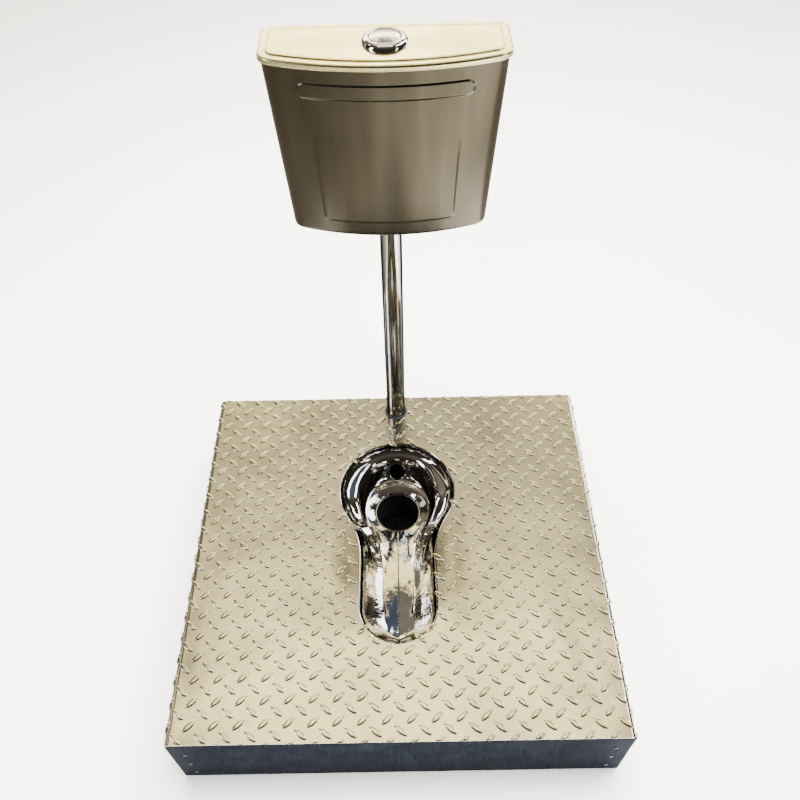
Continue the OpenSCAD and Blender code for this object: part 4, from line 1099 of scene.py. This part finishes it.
# Painted shade: a near-black disc on the floor under the outlet, for the shaded mouth of the waste
# socket.
turns = np.linspace(0, 2 * math.pi, 64, False)
r, y = SOCKET_RADIUS, PAN_CENTRE
ring = [(r * math.cos(a), y + r * math.sin(a), SOCKET_LEVEL) for a in turns]
socket = plain_mesh("waste_socket", ring, [range(64)], smooth=False)
socket.data.materials.append(mottled_paint("painted_shade_socket_mouth", 0.02, "#020202", "#060606"))
shades = {"black": ("#3b3830", "#413e36"), "dark": ("#57534a", "#5d5950")}
shades |= {"mid": ("#7f7b70", "#858176"), "light": ("#c2bdb4", "#c8c3ba")}
card_paints = {s: mottled_paint(s + "_matt_card", 0.30, *pair) for s, pair in shades.items()}
cards = [
    ("dark", (-6.0, -2.8), (-0.66, -0.6)),
    ("mid", (-0.66, -2.8), (-0.115, -0.6)),
    ("dark", (-6.0, -0.6), (-0.66, 0.62)),
    ("dark", (-6.0, 0.62), (6.0, 3.0)),
    ("black", (-0.06, -2.8), (0.24, -0.6)),
    ("dark", (1.0, -0.6), (2.2, 0.62)),
    ("light", (0.24, -2.8), (1.8, -0.6)),
]
for shade, *corners in cards:
    flag = flat_sheet("flag_card", *corners, CARD_LEVEL, card_paints[shade])
    flag.visible_camera = flag.visible_diffuse = flag.visible_shadow = False

world = bpy.data.worlds.new("studio_air")
world.use_nodes = True
tree = world.node_tree
tree.nodes.clear()
axis = parts(tree, fit(tree, "ShaderNodeTexCoord").outputs["Generated"])
calc, band = partial(math_node, tree), partial(span, tree)
behind = band(axis["Y"], -0.05, 0.22)
upward = band(axis["Z"], 0.0, 1.0)
low_air = [(0.0, "#3f3d37"), (0.25, "#a8a289"), (0.36, "#fbf3c4"), (0.50, "#fbf3c4")]
high_air = [(0.62, "#6d685e"), (0.77, "#45423c"), (0.86, "#7b735e"), (0.95, "#c9bb93")]
back_air = tint(tree, upward, [*low_air, *high_air, (1.0, "#6b6453")])
dim = [(0.0, "#0d0c0a"), (0.35, "#100f0d"), (0.70, "#12110f"), (0.95, "#24221d")]
room_air = tint(tree, upward, dim)
rise = calc("MULTIPLY", axis["Z"], 0.30)
lean = band(axis["Y"], 0.20, 0.45, -0.07, 0.0)
to_right = calc("ADD", calc("ADD", rise, axis["X"]), lean)
wall_right = [(0.36, "#3a3833"), (0.42, "#1e2229"), (0.61, "#1c2027")]
white_window = [(0.63, "#ffffff"), (0.80, "#ffffff"), (0.82, "#0c0b0a")]
right_air = tint(tree, band(to_right, 0.2, 1.0), wall_right + white_window)
to_left = calc("SUBTRACT", calc("MULTIPLY", axis["Z"], 0.55), axis["X"])
wall_left = [(0.30, "#35312b"), (0.66, "#35312b"), (0.70, "#0b0a09"), (0.79, "#0b0a09")]
dim_window = [(0.80, "#7d776a"), (0.84, "#7d776a"), (0.85, "#0c0b0a")]
left_air = tint(tree, band(to_left, 0.4, 1.2), wall_left + dim_window)
side_air = blend(tree, band(axis["X"], 0.0, 0.02), left_air, right_air)
cream = band(axis["Z"], 0.52, 0.56)
cream = calc("MULTIPLY", cream, band(axis["Z"], 0.72, 0.76, 1.0, 0.0))
past = band(calc("SUBTRACT", axis["X"], axis["Z"]), -0.56, -0.54)
past = calc("MAXIMUM", past, band(axis["X"], -0.14, -0.12, 1.0, 0.0))
back_air = blend(tree, calc("MULTIPLY", cream, past), back_air, linear("#b0a070"))
left_edge = band(axis["Z"], 0.50, 0.60, -0.52, -0.27)
right_edge = band(axis["Z"], 0.50, 0.60, 0.45, 0.20)
right_edge = calc("ADD", right_edge, band(axis["Z"], 0.60, 0.70, 0.0, 0.07))
from_left = band(calc("SUBTRACT", axis["X"], left_edge), -0.02, 0.01)
from_right = band(calc("SUBTRACT", right_edge, axis["X"]), -0.01, 0.02)
back_air = blend(tree, calc("MULTIPLY", from_left, from_right), side_air, back_air)
air = blend(tree, behind, room_air, back_air)
air = feed(tree, "ShaderNodeBackground", {"Color": air, "Strength": 8.0})
backdrop = feed(tree, "ShaderNodeBackground", {"Color": linear("#f4f4f2"), "Strength": 4.0})
direct = feed(tree, "ShaderNodeLightPath")
air = feed(tree, "ShaderNodeMixShader", {0: direct, 1: air, 2: backdrop})
fit(tree, "ShaderNodeOutputWorld", {"Surface": air})
bpy.context.scene.world = world


def soft_box(name, place, aim, size, power, colour, mirrored=True):
    """A rectangular soft light that faces a point."""
    light = bpy.data.lights.new(name, "AREA")
    light.shape = "RECTANGLE"
    light.size, light.size_y = size
    light.energy = power
    light.color = linear(colour)[:3]
    lamp = put(name, light)
    lamp.location = place
    lamp.rotation_euler = (Vector(aim) - Vector(place)).to_track_quat("-Z", "Y").to_euler()
    lamp.visible_glossy = mirrored


soft_box("overhead", (0.5, 0.6, 3.4), (0.2, 0.2, 0.0), (3.2, 2.6), 1100, "#fffdf8", mirrored=False)
soft_box("window_left", (-2.4, -0.6, 2.1), (0, 0.1, 0.5), (0.5, 1.8), 40, "#f4f8ff")
soft_box("window_right", (2.2, -1.0, 1.5), (0, 0.1, 0.6), (0.35, 1.2), 14, "#fff3e2")

CAMERA_PLACE = (0.018354, -0.901847, 1.772365)
PITCH, YAW, ROLL_ANGLE = 0.87256702, -0.00607807, -0.02380913
stand = Matrix.Translation(CAMERA_PLACE)
for angle, about in ((-YAW, "Z"), (math.pi / 2 - PITCH, "X"), (ROLL_ANGLE, "Z")):
    stand = stand @ Matrix.Rotation(angle, 4, about)
lens = bpy.data.cameras.new("photo_camera")
lens.lens = lens.sensor_width = 36.0
lens.clip_start, lens.clip_end = 0.05, 60.0
camera = put("photo_camera", lens)
camera.matrix_world = stand
bpy.context.scene.camera = camera
